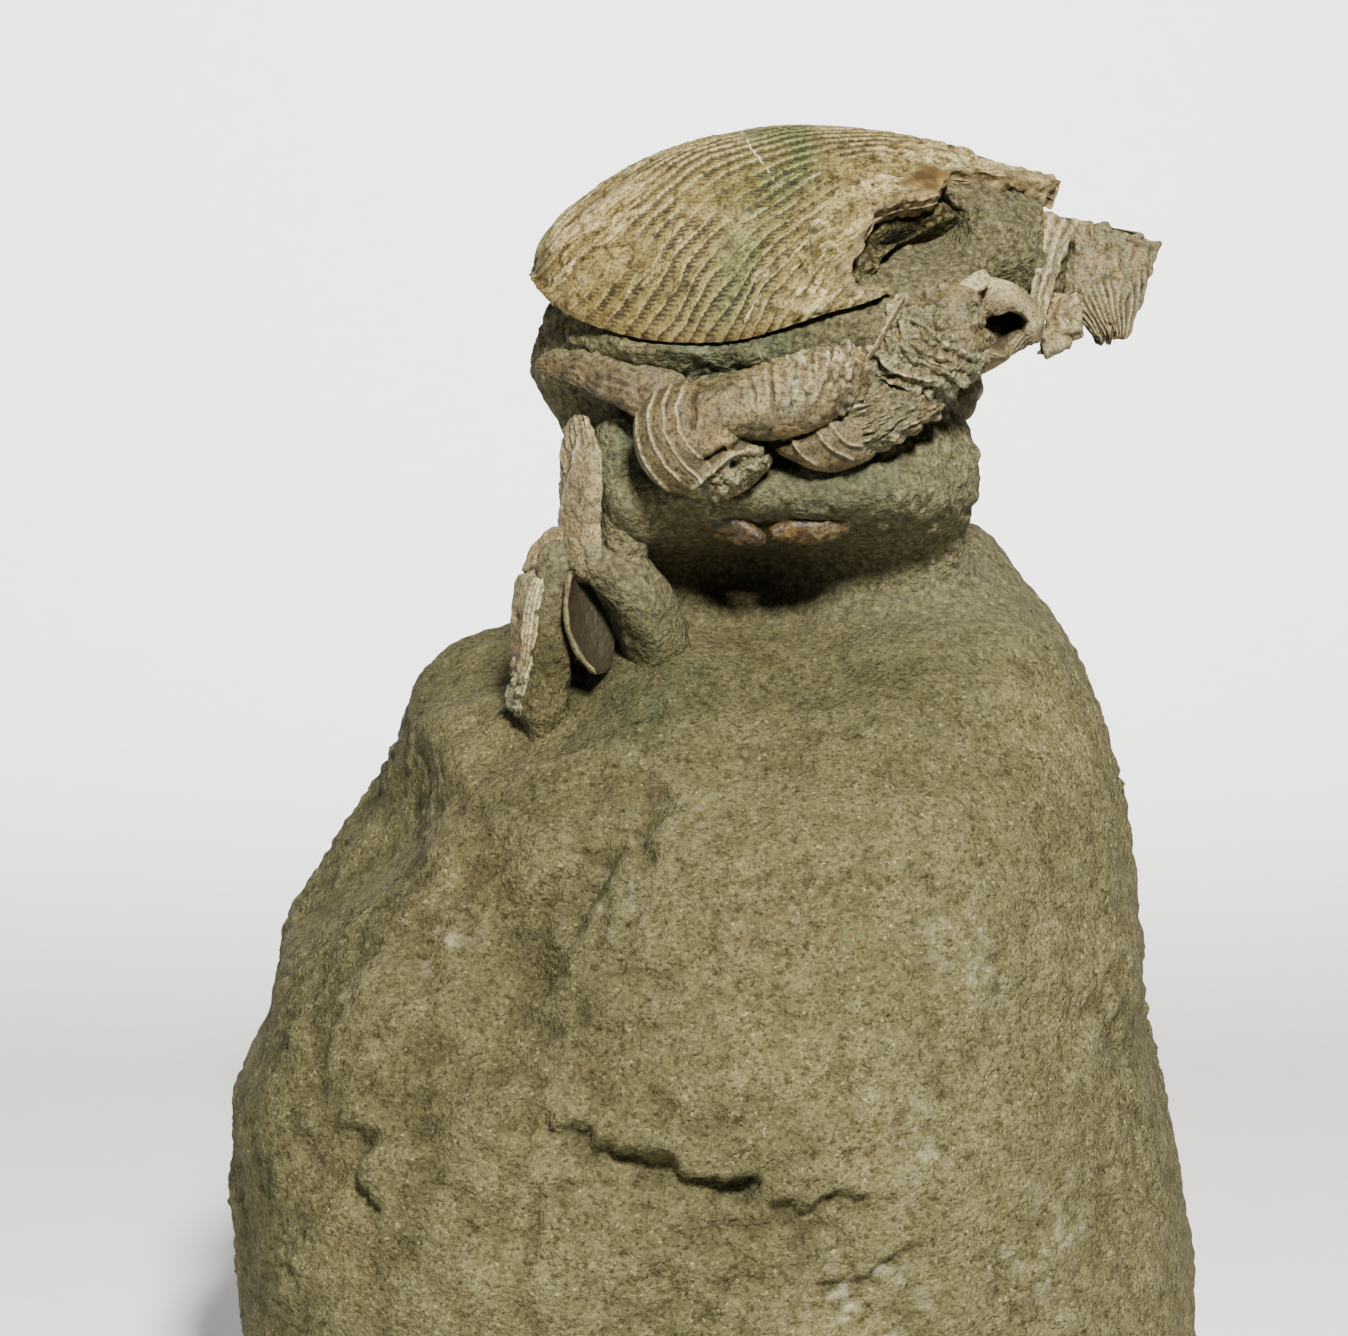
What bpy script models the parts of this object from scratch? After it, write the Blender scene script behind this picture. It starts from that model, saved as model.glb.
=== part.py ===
"""A fossil crab standing on its block of glauconitic sandstone, as a preparator left it: the block and
the neck of stone under the crab are one piece, and every part of the crab's own shell is a piece let
into it. Metres, +Z up. The origin is the middle of the block's flat foot, +X runs towards the crab's
broken front end and -Y is the side that shows its near claw. All sizes below are in millimetres."""

import math

import bmesh
import bpy
import numpy as np
from mathutils import Vector
from mathutils.bvhtree import BVHTree

MM = 0.001

# ---------------------------------------------------------------- driving dimensions, in millimetres
SHELL_THICK = 1.2        # the carapace's own thickness
PLATE_THICK = 1.1        # the thinner plates of the legs and flanks
SEAT_GAP = 0.40          # clearance of each shell piece in its seat in the stone
TUCK = SHELL_THICK + 0.5  # how far the stone stays under the outside of the carapace
TUCK_FROM = 107          # height from which the stone can reach the carapace
SHELL_INSIDE = (5, 0, 112)  # a point in the middle of the carapace's hollow

STONE_ROWS, STONE_COLUMNS = 34, 45
SHELL_ROWS, SHELL_COLUMNS = 19, 17
TUBE_ROWS, TUBE_SIDES = 11, 12
DOME_ROWS, DOME_COLUMNS = 9, 20
PLATE_ROWS, PLATE_COLUMNS = 8, 3
SQUARENESS = 2.35        # plan of the stone: 2 is an ellipse, more is squarer

# ---------------------------------------------------------------- the stone
# Rings from the foot to the top: middle x, y; then how far the ring reaches to the right, back, left
# and front of it; then the ring's height at those four sides.
STONE_RINGS = [
    # block
    (0, -4, 47.5, 34.0, 46.8, 39.0, 0.0, 0.0, 0.0, 0.0),
    (0, -4, 48.8, 35.5, 48.2, 40.5, 2.2, 2.2, 2.2, 2.2),
    (0, -4, 47.4, 36.5, 49.0, 41.0, 17.0, 17.0, 19.0, 17.0),
    (0, -4, 44.8, 36.0, 47.4, 40.0, 31.0, 31.0, 30.5, 31.0),
    (0, -3, 42.0, 34.5, 43.2, 37.0, 45.0, 44.0, 42.0, 44.0),
    (0, -2, 41.2, 32.5, 38.6, 34.5, 57.0, 56.0, 51.5, 54.0),
    (0, 0, 38.6, 30.0, 33.4, 33.5, 68.0, 67.0, 60.5, 61.5),
    (0, 2, 34.5, 25.5, 27.8, 30.0, 76.8, 75.5, 68.0, 66.0),
    # shelf round the neck
    (0, 2, 30.5, 20.0, 22.5, 24.0, 80.4, 80.5, 71.5, 71.5),
    (3, 2, 24.5, 13.0, 19.5, 15.5, 82.2, 82.5, 74.0, 76.8),
    # neck, with the hollow under the claw at its front
    (5, 1, 20.3, 10.5, 18.5, 9.0, 84.0, 85.5, 79.0, 79.6),
    (5, 0, 19.2, 10.5, 18.0, 7.0, 87.6, 89.0, 85.0, 84.5),
    (5, 0, 20.0, 11.5, 18.3, 13.5, 91.0, 92.5, 90.0, 89.6),
    # ledge below the claw
    (5, 0, 20.4, 12.0, 19.0, 16.4, 94.3, 95.0, 94.0, 92.4),
    (5, 0, 19.6, 12.5, 19.6, 13.6, 98.3, 98.0, 97.5, 96.2),
    (5, 0, 18.4, 13.0, 20.6, 12.2, 102.0, 101.5, 101.0, 100.5),
    # band between the claw and the carapace, and the filling of the carapace
    (5, 0, 22.0, 13.3, 22.4, 14.6, 106.0, 105.5, 104.8, 104.6),
    (6, 0, 27.0, 13.5, 23.4, 15.4, 110.5, 110.0, 109.0, 107.6),
    (6, 0, 27.6, 13.5, 22.4, 14.4, 115.5, 114.0, 113.5, 112.0),
    (6, 0, 26.0, 11.8, 20.0, 12.2, 119.6, 118.5, 118.0, 118.0),
    (7, 0, 23.0, 9.0, 15.5, 8.5, 121.6, 122.6, 122.4, 122.4),
    (8, 0, 15.0, 5.0, 8.5, 4.6, 123.6, 125.0, 124.6, 124.8),
]
STONE_TOP = (8, 0, 125.8)
# Swellings and hollows: middle x, y, z; reach x, y, z; and the push x, y, z at the middle.
STONE_LUMPS = [
    (-36, -22, 38, 20, 20, 20, -4.5, -3.0, 0),   # corner between the front face and the left flank
    (-34, 16, 52, 20, 20, 20, -5.0, 4.0, 0),     # left shoulder, at the back
    (16, -40, 46, 20, 20, 20, 0, -3.5, 0),       # belly of the front face
    (-18, -34, 52, 12, 12, 12, 0, 3.0, 0),       # valley left of the belly
    (-34, -6, 60, 9, 9, 13, 4.0, 2.0, -3.0),     # valley behind the left ridge
    (-22, 15, 73, 9, 9, 8, -1.0, 2.0, 2.2),      # hump behind the legs
    (-20, -13, 73, 9, 7, 7, 0, 0, -4.0),         # dip of the shelf under the legs
    (25, 13, 80, 6, 8, 7, 0.6, 1.5, 6.3),        # hump behind the neck, right
    (3.5, -6, 85, 9.0, 8, 6, 0, 6.0, 0),         # hollow under the claw
    (-10, -9, 91, 5, 6, 7, 0, -4.2, 0),          # pillar behind the legs
    (-16, -9, 76, 5, 6, 7, -1.0, -4.0, 0),       # foot of the pillar, which carries the lower leg
    (-12.6, -14, 79.5, 2.2, 5, 4.5, 0, 5.0, 0),  # dark hollow beside the leg's blade
    (-6.5, -12, 79, 5, 6, 7, 0, -3.6, 0),        # wall at the right of that hollow
    (19, -8, 93, 8, 8, 8, 0.4, -2.5, 0),         # swelling at the right of the ledge
    (10, -17, 95.5, 12, 6, 4, 0, -1.6, 1.0),     # lip of the ledge, under the hand
    (-8, -13, 108.6, 9, 6, 2.6, 0, -2.0, 0),     # band of stone under the carapace's margin, left
    (-17, -4, 98, 4, 6, 4, -1.6, 0, 0),          # ragged edge of the neck, left
    (-16, 3, 103, 5, 6, 4, -2.0, 0, 0),          # ragged left end of the band under the carapace
    (-15, -7, 100, 4, 4, 4, 2.5, 2.0, 0),        # notch under the side plate
    (19.5, -10, 118.6, 4.5, 5, 3.6, 0, 6.0, 0),  # hollow inside the broken edge of the carapace
    (21.0, -9, 118.8, 3, 5, 3, 0, 4.5, 0),       # the hollow's deepest part
    (15.5, -13, 116.6, 4, 5, 4, 0, 3.5, 0),      # the hollow's left end
    (27.6, -9, 110, 5.0, 5.0, 5.0, 0, 6.5, 0),   # hollow behind the claw's open socket
]
# Outline of the block as seen from the near side: x and z of its left and right edges.
LEFT_SIDE = [
    (-48.5, 0), (-48, 8.5), (-49, 22.5), (-49, 31.5), (-48, 35), (-45.5, 39), (-44.5, 47.5),
    (-40, 54), (-35, 61), (-31, 70.5),
]
RIGHT_SIDE = [
    (49, 0), (48, 7.5), (47.5, 16.5), (46, 25.5), (44, 34.5), (42.5, 41), (41.5, 54), (40.5, 61),
    (39, 67), (37.5, 72), (35, 77),
]

# The stone's tongue, which carries the pieces of the crab's front, between two lines of x, y, z.
TONGUE = (
    [(29.0, 0.5, 121.0), (33.0, 1.0, 119.4), (37.0, 1.4, 118.0), (41.2, 2.2, 116.2)],
    [(29.0, 0.0, 108.6), (33.0, 0.5, 110.2), (37.0, 1.0, 112.0), (40.4, 1.8, 114.0)],
)
TONGUE_THICK = 4.0

# ---------------------------------------------------------------- the carapace
# Three lines that all start at its rounded hind end: the crest, the near margin and the far margin.
CREST = [
    (-18.3, -1.0, 114.8), (-17.7, -0.6, 116.7), (-15.9, -0.3, 118.9), (-12.8, 0, 121.6),
    (-7.9, 0, 124.6), (-1.5, 0, 127.0), (6.5, 0, 128.3), (14.0, 0, 128.0), (20.6, 0, 127.0),
    (26.0, 0, 125.4), (30.0, 0, 124.1), (33.6, 0, 122.9),
]
NEAR_MARGIN = [
    (-18.4, -1.0, 115.0), (-18.3, -5.6, 113.6), (-17.2, -8.8, 112.2), (-15.0, -11.6, 110.7),
    (-11.6, -13.8, 109.5), (-7.6, -15.2, 108.6), (-3.0, -16.0, 108.3), (1.6, -16.2, 108.6),
    (6.0, -16.2, 109.8), (10.0, -15.8, 111.1), (13.6, -14.8, 112.0), (17.0, -13.2, 113.3),
]
FAR_MARGIN = [
    (-18.4, -1.0, 115.0), (-18.2, 3.4, 114.4), (-16.8, 6.8, 113.6), (-14.4, 10.0, 112.8),
    (-10.8, 12.6, 112.2), (-6.2, 14.4, 111.8), (-1.0, 15.6, 111.7), (4.6, 16.2, 111.9),
    (10.2, 16.2, 112.4), (16.0, 15.6, 113.0), (21.6, 14.2, 114.0), (26.6, 12.2, 115.4),
]
# Where the shell breaks off: degrees from the crest, near side positive, and share of the length.
BROKEN_EDGE = [
    (-90, 0.98), (-54, 0.94), (-18, 0.97), (0, 1.0), (8, 0.98), (17, 0.88), (28, 0.90), (35, 0.92),
    (46, 0.86), (58, 0.87), (70, 0.87), (80, 0.90), (90, 0.98),
]

# ---------------------------------------------------------------- limbs
# Outlines of the claw's wide pieces as seen from the near side, as x, z; then the middle x, y, z; how
# deep the near and the far side are; and how far the piece runs back for each mm to the right.
CLAW_DOMES = {
    "claw_wrist": (
        [
            (1.3, 105.3), (-0.5, 105.1), (-2.2, 104.8), (-4.1, 104.5), (-6, 103.8), (-7.4, 102.7),
            (-8.3, 101.2), (-8.5, 99.4), (-8.2, 97.3), (-7, 95.4), (-5.7, 94.4), (-3.7, 93.7), (-1.8, 93.2),
            (0.5, 93.3), (2.4, 94.2), (3.8, 95.4), (4.8, 96.8), (4.4, 97.8), (3.2, 98.5), (2.3, 100),
            (2.1, 102.6), (1.9, 104.4),
        ],
        (-1.6, -17.6, 99.6), 5.2, 3.2, 0,
    ),
    "claw_hand": (
        [
            (5, 98.2), (6.9, 99.2), (9, 100.9), (11.1, 102.6), (13.2, 104.1), (15.3, 104.6), (17.6, 104.2),
            (20, 103.4), (21.5, 102.3), (21, 101.2), (19.6, 100), (17.5, 98.8), (15.3, 97.5), (13.2, 96.4),
            (11.1, 95.8), (9, 95.9), (6.9, 96.8), (5.3, 97.7),
        ],
        (12.5, -15.4, 100), 4, 3, 0.2,
    ),
    "claw_shoulder": (
        [
            (17.6, 112.6), (19.6, 113), (21.3, 113.6), (23.1, 114.2), (24.8, 113.6), (25.4, 111.3),
            (25.4, 108.8), (25.4, 106.7), (24.5, 104.6), (22.8, 103.8), (20.6, 102.5), (17.7, 102.3),
            (15.3, 102.8), (13.8, 104.1), (13.4, 105.8), (14.4, 107.6), (16, 110.3),
        ],
        (19.8, -12.6, 107.8), 4.6, 3.4, 0,
    ),
}
# Stations along each limb: x, y, z of its middle; half its height; half its depth.
CLAW_ARM = [
    (-3.0, -17.6, 101.9, 0.6, 0.6), (-2.0, -17.9, 101.9, 2.4, 3.4), (0.0, -18.1, 102.0, 3.2, 4.4),
    (2.8, -18.0, 102.4, 3.5, 4.5), (6.0, -18.0, 103.0, 3.8, 4.5), (9.4, -17.7, 104.2, 3.6, 4.2),
    (11.6, -17.2, 105.3, 3.0, 3.6), (13.0, -16.8, 106.1, 2.2, 2.9), (13.9, -16.6, 106.5, 0.8, 0.9),
]
FAR_ARM = [
    (25.2, 8.2, 102.4, 0.8, 0.8), (24.4, 8.8, 102.3, 3.0, 3.0), (20.6, 11.2, 101.8, 4.1, 4.0),
    (15.0, 13.8, 101.2, 4.5, 4.2), (9.0, 15.4, 100.8, 4.7, 4.3), (4.0, 16.0, 100.2, 4.1, 3.9),
    (1.6, 16.0, 99.8, 2.8, 2.8), (0.8, 16.0, 99.7, 0.8, 0.8),
]
# The socket is a broken-open tube: a thick bowl that opens towards the near side.
SOCKET_MIDDLE = (27.5, -9.6, 109.4)
SOCKET_RADII = (3.7, 3.6, 4.2)
SOCKET_WALL = 1.0
SOCKET_OPENS = 0.42      # share of the bowl's depth that is broken away

# ---------------------------------------------------------------- plates
# Each plate is stretched between two edge lines of x, y, z; then how far its middle bulges outwards.
PLATES = {
    "side_plate": (
        [(-18.6, -7.0, 105.7), (-16.9, -9.4, 106.9), (-12.8, -12.0, 107.2), (-10.1, -13.4, 107.2),
         (-6.6, -14.6, 106.9), (-4.2, -15.2, 105.6), (-3.4, -15.4, 104.8)],
        [(-18.5, -7.4, 104.6), (-16.7, -9.6, 104.4), (-13.7, -12.4, 103.5), (-10.6, -14.6, 102.2),
         (-8.3, -16.0, 101.1), (-6.2, -16.4, 102.2), (-4.0, -16.2, 103.6)],
        0.5,
    ),
    "leg_upper": (
        [(-14.9, -8.2, 100.4), (-15.7, -7.4, 98.6), (-16.1, -6.8, 94.9), (-16.2, -6.6, 91.8),
         (-16.1, -7.2, 89.6), (-15.9, -8.2, 87.2), (-15.8, -9.4, 84.9)],
        [(-13.8, -11.0, 100.5), (-12.6, -12.2, 97.8), (-12.5, -12.8, 94.7), (-12.6, -13.0, 91.6),
         (-12.7, -12.9, 88.9), (-12.6, -12.8, 87.1), (-13.2, -12.6, 85.2)],
        0.7,
    ),
    "leg_lower": (
        [(-16.6, -7.6, 90.0), (-18.8, -7.8, 87.8), (-20.4, -8.0, 84.6), (-20.9, -8.4, 81.4),
         (-20.9, -8.6, 77.4), (-20.8, -8.8, 73.6), (-20.8, -9.2, 70.9)],
        [(-15.9, -10.6, 89.6), (-16.1, -11.6, 86.4), (-17.6, -12.4, 83.9), (-18.3, -13.0, 80.4),
         (-18.8, -13.2, 76.8), (-19.7, -13.3, 73.6), (-20.3, -13.0, 71.4)],
        0.6,
    ),
    "leg_blade": (
        [(-15.3, -13.6, 85.7), (-15.6, -14.4, 83.0), (-15.4, -14.8, 80.1), (-14.4, -14.8, 77.6),
         (-12.7, -14.6, 75.5)],
        [(-14.1, -9.8, 84.9), (-12.9, -9.4, 83.2), (-11.5, -9.2, 80.4), (-10.9, -9.4, 77.9),
         (-11.4, -10.4, 75.4)],
        1.0,
    ),
    "belly_shell_left": (
        [(-3.7, -12.6, 91.7), (-1.7, -14.2, 91.4), (0.7, -15.2, 91.0), (2.9, -15.7, 90.0),
         (4.0, -15.6, 89.2)],
        [(-3.6, -12.4, 90.5), (-2.2, -13.2, 89.5), (0.3, -13.8, 88.5), (2.7, -14.4, 88.0),
         (3.9, -15.2, 88.1)],
        0.4,
    ),
    "belly_shell_right": (
        [(4.6, -15.4, 89.8), (6.6, -15.7, 90.6), (9.0, -15.6, 90.7), (11.2, -15.2, 90.8),
         (12.9, -14.4, 90.6)],
        [(4.6, -15.0, 88.9), (6.6, -14.2, 88.2), (9.0, -14.0, 88.2), (11.3, -13.6, 88.8),
         (12.8, -13.4, 89.9)],
        0.4,
    ),
    "front_strip": (
        [(31.8, -3.2, 120.3), (31.2, -4.2, 117.9), (30.9, -5.2, 115.3), (30.2, -6.4, 112.1),
         (31.0, -7.0, 109.8)],
        [(35.0, -3.2, 119.1), (33.9, -4.2, 116.4), (32.9, -5.2, 114.2), (32.0, -6.4, 111.6),
         (31.6, -6.9, 109.6)],
        0.5,
    ),
    "front_lobe": (
        [(32.7, -4.4, 112.4), (32.0, -5.2, 110.2), (31.7, -5.6, 108.0), (31.3, -5.8, 106.4)],
        [(35.6, -3.0, 112.4), (35.9, -3.4, 109.9), (34.7, -4.4, 107.4), (32.3, -5.5, 106.0)],
        0.6,
    ),
    "front_fan": (
        [(34.6, 0.8, 119.2), (34.2, 0.2, 116.0), (34.0, -0.6, 113.4), (35.0, -1.0, 110.6),
         (37.2, -1.0, 107.6)],
        [(41.6, 1.6, 117.4), (43.2, 1.8, 115.6), (42.6, 1.2, 112.9), (41.4, 0.2, 109.7),
         (40.2, -0.4, 106.9)],
        0.5,
    ),
    "far_side_plate": (
        [(-17.0, 8.0, 107.4), (-12.6, 12.0, 109.0), (-6.0, 14.0, 109.4), (0.6, 14.8, 109.0)],
        [(-16.6, 8.0, 105.0), (-12.0, 12.4, 104.4), (-5.6, 15.0, 103.8), (0.8, 15.6, 104.2)],
        0.7,
    ),
}
THICK = {"front_fan": 2.6, "front_strip": 1.4, "leg_lower": 1.6, "belly_shell_left": 1.4,
         "belly_shell_right": 1.4}

# Each piece, and the neighbours that its own solid gives way to.
GIVES_WAY = {
    "claw_arm": ["claw_wrist"],
    "claw_hand": ["claw_arm", "claw_wrist"],
    "claw_shoulder": ["claw_arm", "claw_hand", "claw_socket", "carapace"],
    "front_strip": ["claw_socket", "carapace"],
    "front_lobe": ["front_strip", "claw_socket"],
    "front_fan": ["front_strip", "front_lobe"],
    "side_plate": ["claw_wrist"],
    "leg_blade": ["leg_upper"],
    "leg_lower": ["leg_upper", "leg_blade"],
    "belly_shell_right": ["belly_shell_left"],
}

COLOURS = {
    "stone": (0.23, 0.20, 0.12), "carapace": (0.37, 0.31, 0.18), "claw": (0.33, 0.28, 0.19),
    "plate": (0.34, 0.29, 0.20), "amber": (0.26, 0.15, 0.05),
}


# ---------------------------------------------------------------- curves and surfaces
def smooth(points, at):
    """The smooth curve through points of any dimension, read at the shares `at` of its length. Its
    knots follow the root of each step, so that uneven steps don't make it swing."""
    points = np.asarray(points, float)
    steps = np.sqrt(np.linalg.norm(np.diff(points, axis=0), axis=1))
    knots = np.concatenate([[0], np.cumsum(steps)])
    chords = np.diff(points, axis=0) / steps[:, None]
    share = (steps[1:] / (steps[1:] + steps[:-1]))[:, None]
    middle = chords[:-1] * share + chords[1:] * (1 - share)
    slopes = np.vstack([chords[:1], middle, chords[-1:]])
    place = np.asarray(at, float) * knots[-1]
    i = np.clip(np.searchsorted(knots, place, side="right") - 1, 0, len(steps) - 1)
    step = steps[i][..., None]
    f = (place - knots[i])[..., None] / step
    return (
        (1 + 2 * f) * (1 - f) ** 2 * points[i] + f * (1 - f) ** 2 * step * slopes[i]
        + f * f * (3 - 2 * f) * points[i + 1] - f * f * (1 - f) * step * slopes[i + 1]
    )


def stone_grid(rows, columns):
    """Points of the stone: one ring of them for each row, from the foot upwards."""
    rings = smooth(STONE_RINGS, np.linspace(0, 1, rows))[:, None, :]
    angle = np.arange(columns) / columns * 2 * math.pi
    c, s = np.cos(angle), np.sin(angle)
    bulge = (np.abs(c) ** SQUARENESS + np.abs(s) ** SQUARENESS) ** (-1 / SQUARENESS)
    x = rings[..., 0] + np.where(c > 0, rings[..., 2], rings[..., 4]) * c * bulge
    y = rings[..., 1] + np.where(s > 0, rings[..., 3], rings[..., 5]) * s * bulge
    z = (np.where(c > 0, rings[..., 6], rings[..., 8]) * c * c
         + np.where(s > 0, rings[..., 7], rings[..., 9]) * s * s)
    return np.stack([x, y, z], axis=-1)


def add_lumps(points, lumps):
    """Points pushed by each lump, most at its middle. The flat foot keeps its height."""
    push = np.zeros_like(points)
    for lump in np.array(lumps, float):
        near = np.exp(-(((points - lump[:3]) / lump[3:6]) ** 2).sum(-1))
        push += near[..., None] * lump[6:]
    return points + push


def fit_sides(points):
    """Moves the block's sides so that its outline from the near side follows the two side lines."""
    rows = np.arange(len(points))
    for side, line in ((-1, LEFT_SIDE), (1, RIGHT_SIDE)):
        x, z = np.array(line).T
        reach = points[..., 0] * side
        widest = reach.argmax(1)
        edge, height = points[rows, widest, 0], points[rows, widest, 2]
        shift = (np.interp(height, z, x) - edge) * np.clip(height / 4, 0, 1)
        shift = shift * np.clip((z[-1] + 3 - height) / 4, 0, 1)
        share = np.clip(reach / np.abs(edge)[:, None], 0, 1) ** 4
        points[..., 0] += shift[:, None] * share
    return points


def carapace_grid(rows, columns):
    """Points of the carapace's outside: rows run from the hind end to the broken edge, and columns from
    the far margin over the crest to the near margin."""
    across = np.linspace(-90, 90, columns)
    ends = np.interp(across, *zip(*BROKEN_EDGE))
    share = np.linspace(0, 1, rows)[:, None] * ends
    crest, near, far = (smooth(line, share) for line in (CREST, NEAR_MARGIN, FAR_MARGIN))
    turn = np.radians(np.abs(across))[None, :, None]
    margin = np.where(across[None, :, None] > 0, near, far)
    flat = crest + (margin - crest) * np.sin(turn)
    drop = crest + (margin - crest) * (1 - np.cos(turn))
    return np.concatenate([flat[..., :2], drop[..., 2:]], axis=-1)


def tube_grid(stations, rows, sides):
    """Rings of points round a limb. Each ring's first point is on its upper side, or on its right side
    where the limb hangs down."""
    line = smooth(stations, np.linspace(0, 1, rows))
    along = np.gradient(line[:, :3], axis=0)
    along /= np.linalg.norm(along, axis=1, keepdims=True)
    hangs = abs(line[-1, 2] - line[0, 2]) > abs(line[-1, 0] - line[0, 0])
    depth = np.cross(along, (1.0, 0, 0) if hangs else (0, 0, 1.0))
    depth /= np.linalg.norm(depth, axis=1, keepdims=True)
    rise = np.cross(depth, along)
    angle = np.arange(sides) / sides * 2 * math.pi
    return (
        line[:, None, :3]
        + rise[:, None] * (np.cos(angle)[:, None] * line[:, None, 3, None])
        + depth[:, None] * (np.sin(angle)[:, None] * line[:, None, 4, None])
    )


def dome_grid(outline, middle, near, far, lean, rows, columns):
    """Rings of points over a body with a rounded near and far side, whose outline is given."""
    x, y, z = middle
    edge = smooth([*outline, outline[0]], np.arange(columns) / columns) - (x, z)
    rise = np.linspace(0.12, math.pi - 0.12, rows)
    reach, height = np.sin(rise)[:, None], np.cos(rise)[:, None]
    depth = np.where(height > 0, near, far) * np.sign(height) * np.abs(height) ** 0.8
    side = reach * edge[:, 0]
    return np.stack([x + side, y - depth + lean * side, z + reach * edge[:, 1]], axis=-1)


def plate_grid(edge_a, edge_b, bulge, rows, columns):
    """Points of a plate between two edge lines, swollen along its own normal."""
    share = np.linspace(0, 1, rows)
    a, b = smooth(edge_a, share)[:, None], smooth(edge_b, share)[:, None]
    across = np.linspace(0, 1, columns)[None, :, None]
    flat = a + (b - a) * across
    along = np.gradient(flat, axis=0)
    normal = np.cross(b - a, along)
    normal /= np.linalg.norm(normal, axis=-1, keepdims=True)
    swell = 4 * across * (1 - across) * np.sin(math.pi * share)[:, None, None] ** 0.5
    return flat + normal * bulge * swell


# ---------------------------------------------------------------- meshes and objects
def mesh_object(name, points, faces, kind, collection):
    mesh = bpy.data.meshes.new(name)
    mesh.from_pydata([Vector(p) * MM for p in points], [], faces)
    mesh.validate()
    made = bpy.data.objects.new(name, mesh)
    mesh.materials.append(material(kind))
    collection.objects.link(made)
    return made


def face_outwards(obj):
    """Merges points in one place, drops flat faces and turns every face outwards."""
    shape = bmesh.new()
    shape.from_mesh(obj.data)
    bmesh.ops.remove_doubles(shape, verts=shape.verts, dist=0.01 * MM)
    bmesh.ops.recalc_face_normals(shape, faces=shape.faces)
    shape.to_mesh(obj.data)
    shape.free()


def ring_faces(rows, columns):
    """Faces of rings of points laid one above the other."""
    return [
        (r * columns + c, r * columns + (c + 1) % columns,
         (r + 1) * columns + (c + 1) % columns, (r + 1) * columns + c)
        for r in range(rows - 1) for c in range(columns)
    ]


def sheet_faces(rows, columns):
    """Faces of an open sheet of points."""
    return [
        (r * columns + c, r * columns + c + 1, (r + 1) * columns + c + 1, (r + 1) * columns + c)
        for r in range(rows - 1) for c in range(columns - 1)
    ]


def closed_loft(name, rings, kind, collection, top=None):
    """A closed solid over rings of points: flat ends, or a point at the top."""
    rows, columns = rings.shape[:2]
    points = list(rings.reshape(-1, 3))
    faces = ring_faces(rows, columns)
    faces.append(tuple(reversed(range(columns))))
    last = (rows - 1) * columns
    if top is None:
        faces.append(tuple(last + c for c in range(columns)))
    else:
        points.append(np.array(top, float))
        faces += [(last + c, last + (c + 1) % columns, len(points) - 1) for c in range(columns)]
    made = mesh_object(name, points, faces, kind, collection)
    face_outwards(made)
    return made


def sheet_solid(name, grid, thick, kind, collection, inwards):
    """A sheet given its thickness. `inwards` is a point on the side that the thickness grows to."""
    rows, columns = grid.shape[:2]
    made = mesh_object(name, grid.reshape(-1, 3), sheet_faces(rows, columns), kind, collection)
    face_outwards(made)
    middle = Vector(grid[rows // 2, columns // 2]) * MM
    face = min(made.data.polygons, key=lambda f: (f.center - middle).length)
    away = face.normal.dot(Vector(inwards) * MM - middle) < 0
    if not away:
        made.data.flip_normals()
    solidify = made.modifiers.new("Thickness", "SOLIDIFY")
    solidify.thickness = thick * MM
    solidify.offset = -1
    solidify.use_even_offset = False
    return made


def material(kind):
    made = bpy.data.materials.get(kind)
    if made is None:
        made = bpy.data.materials.new(kind)
        made.use_nodes = True
        shader = made.node_tree.nodes["Principled BSDF"]
        shader.inputs["Base Color"].default_value = (*COLOURS[kind], 1)
        shader.inputs["Roughness"].default_value = 0.9 if kind == "stone" else 0.6
    return made


def seat_cutter(piece, cutters):
    """A copy of a piece, larger all round by the seat's gap, that cuts its seat in a neighbour."""
    made = piece.copy()
    made.data = piece.data.copy()
    made.name = "seat_of_" + piece.name
    grow = made.modifiers.new("Gap", "DISPLACE")
    grow.strength = SEAT_GAP * MM
    grow.mid_level = 0
    made.hide_render = True
    made.display_type = "WIRE"
    cutters.objects.link(made)
    return made


def combine(piece, other, operation):
    made = piece.modifiers.new(operation.title() + " " + other.name, "BOOLEAN")
    made.operation = operation
    made.object = other


def tuck_under(points, shell):
    """Moves the stone's points that would reach the carapace back inside it."""
    rows, columns = shell.shape[:2]
    tree = BVHTree.FromPolygons(
        [Vector(p) for p in shell.reshape(-1, 3)], sheet_faces(rows, columns))
    middle = Vector(SHELL_INSIDE)
    for at in np.ndindex(points.shape[:2]):
        point = Vector(points[at])
        if point.z < TUCK_FROM:
            continue
        place, normal, _, distance = tree.find_nearest(point)
        if normal.dot(place - middle) < 0:
            normal = -normal
        height = (point - place).dot(normal)
        beside = ((point - place) - normal * height).length
        if height > -TUCK and beside < 0.3 + 0.3 * distance:
            points[at] = place - normal * TUCK
    return points


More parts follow.
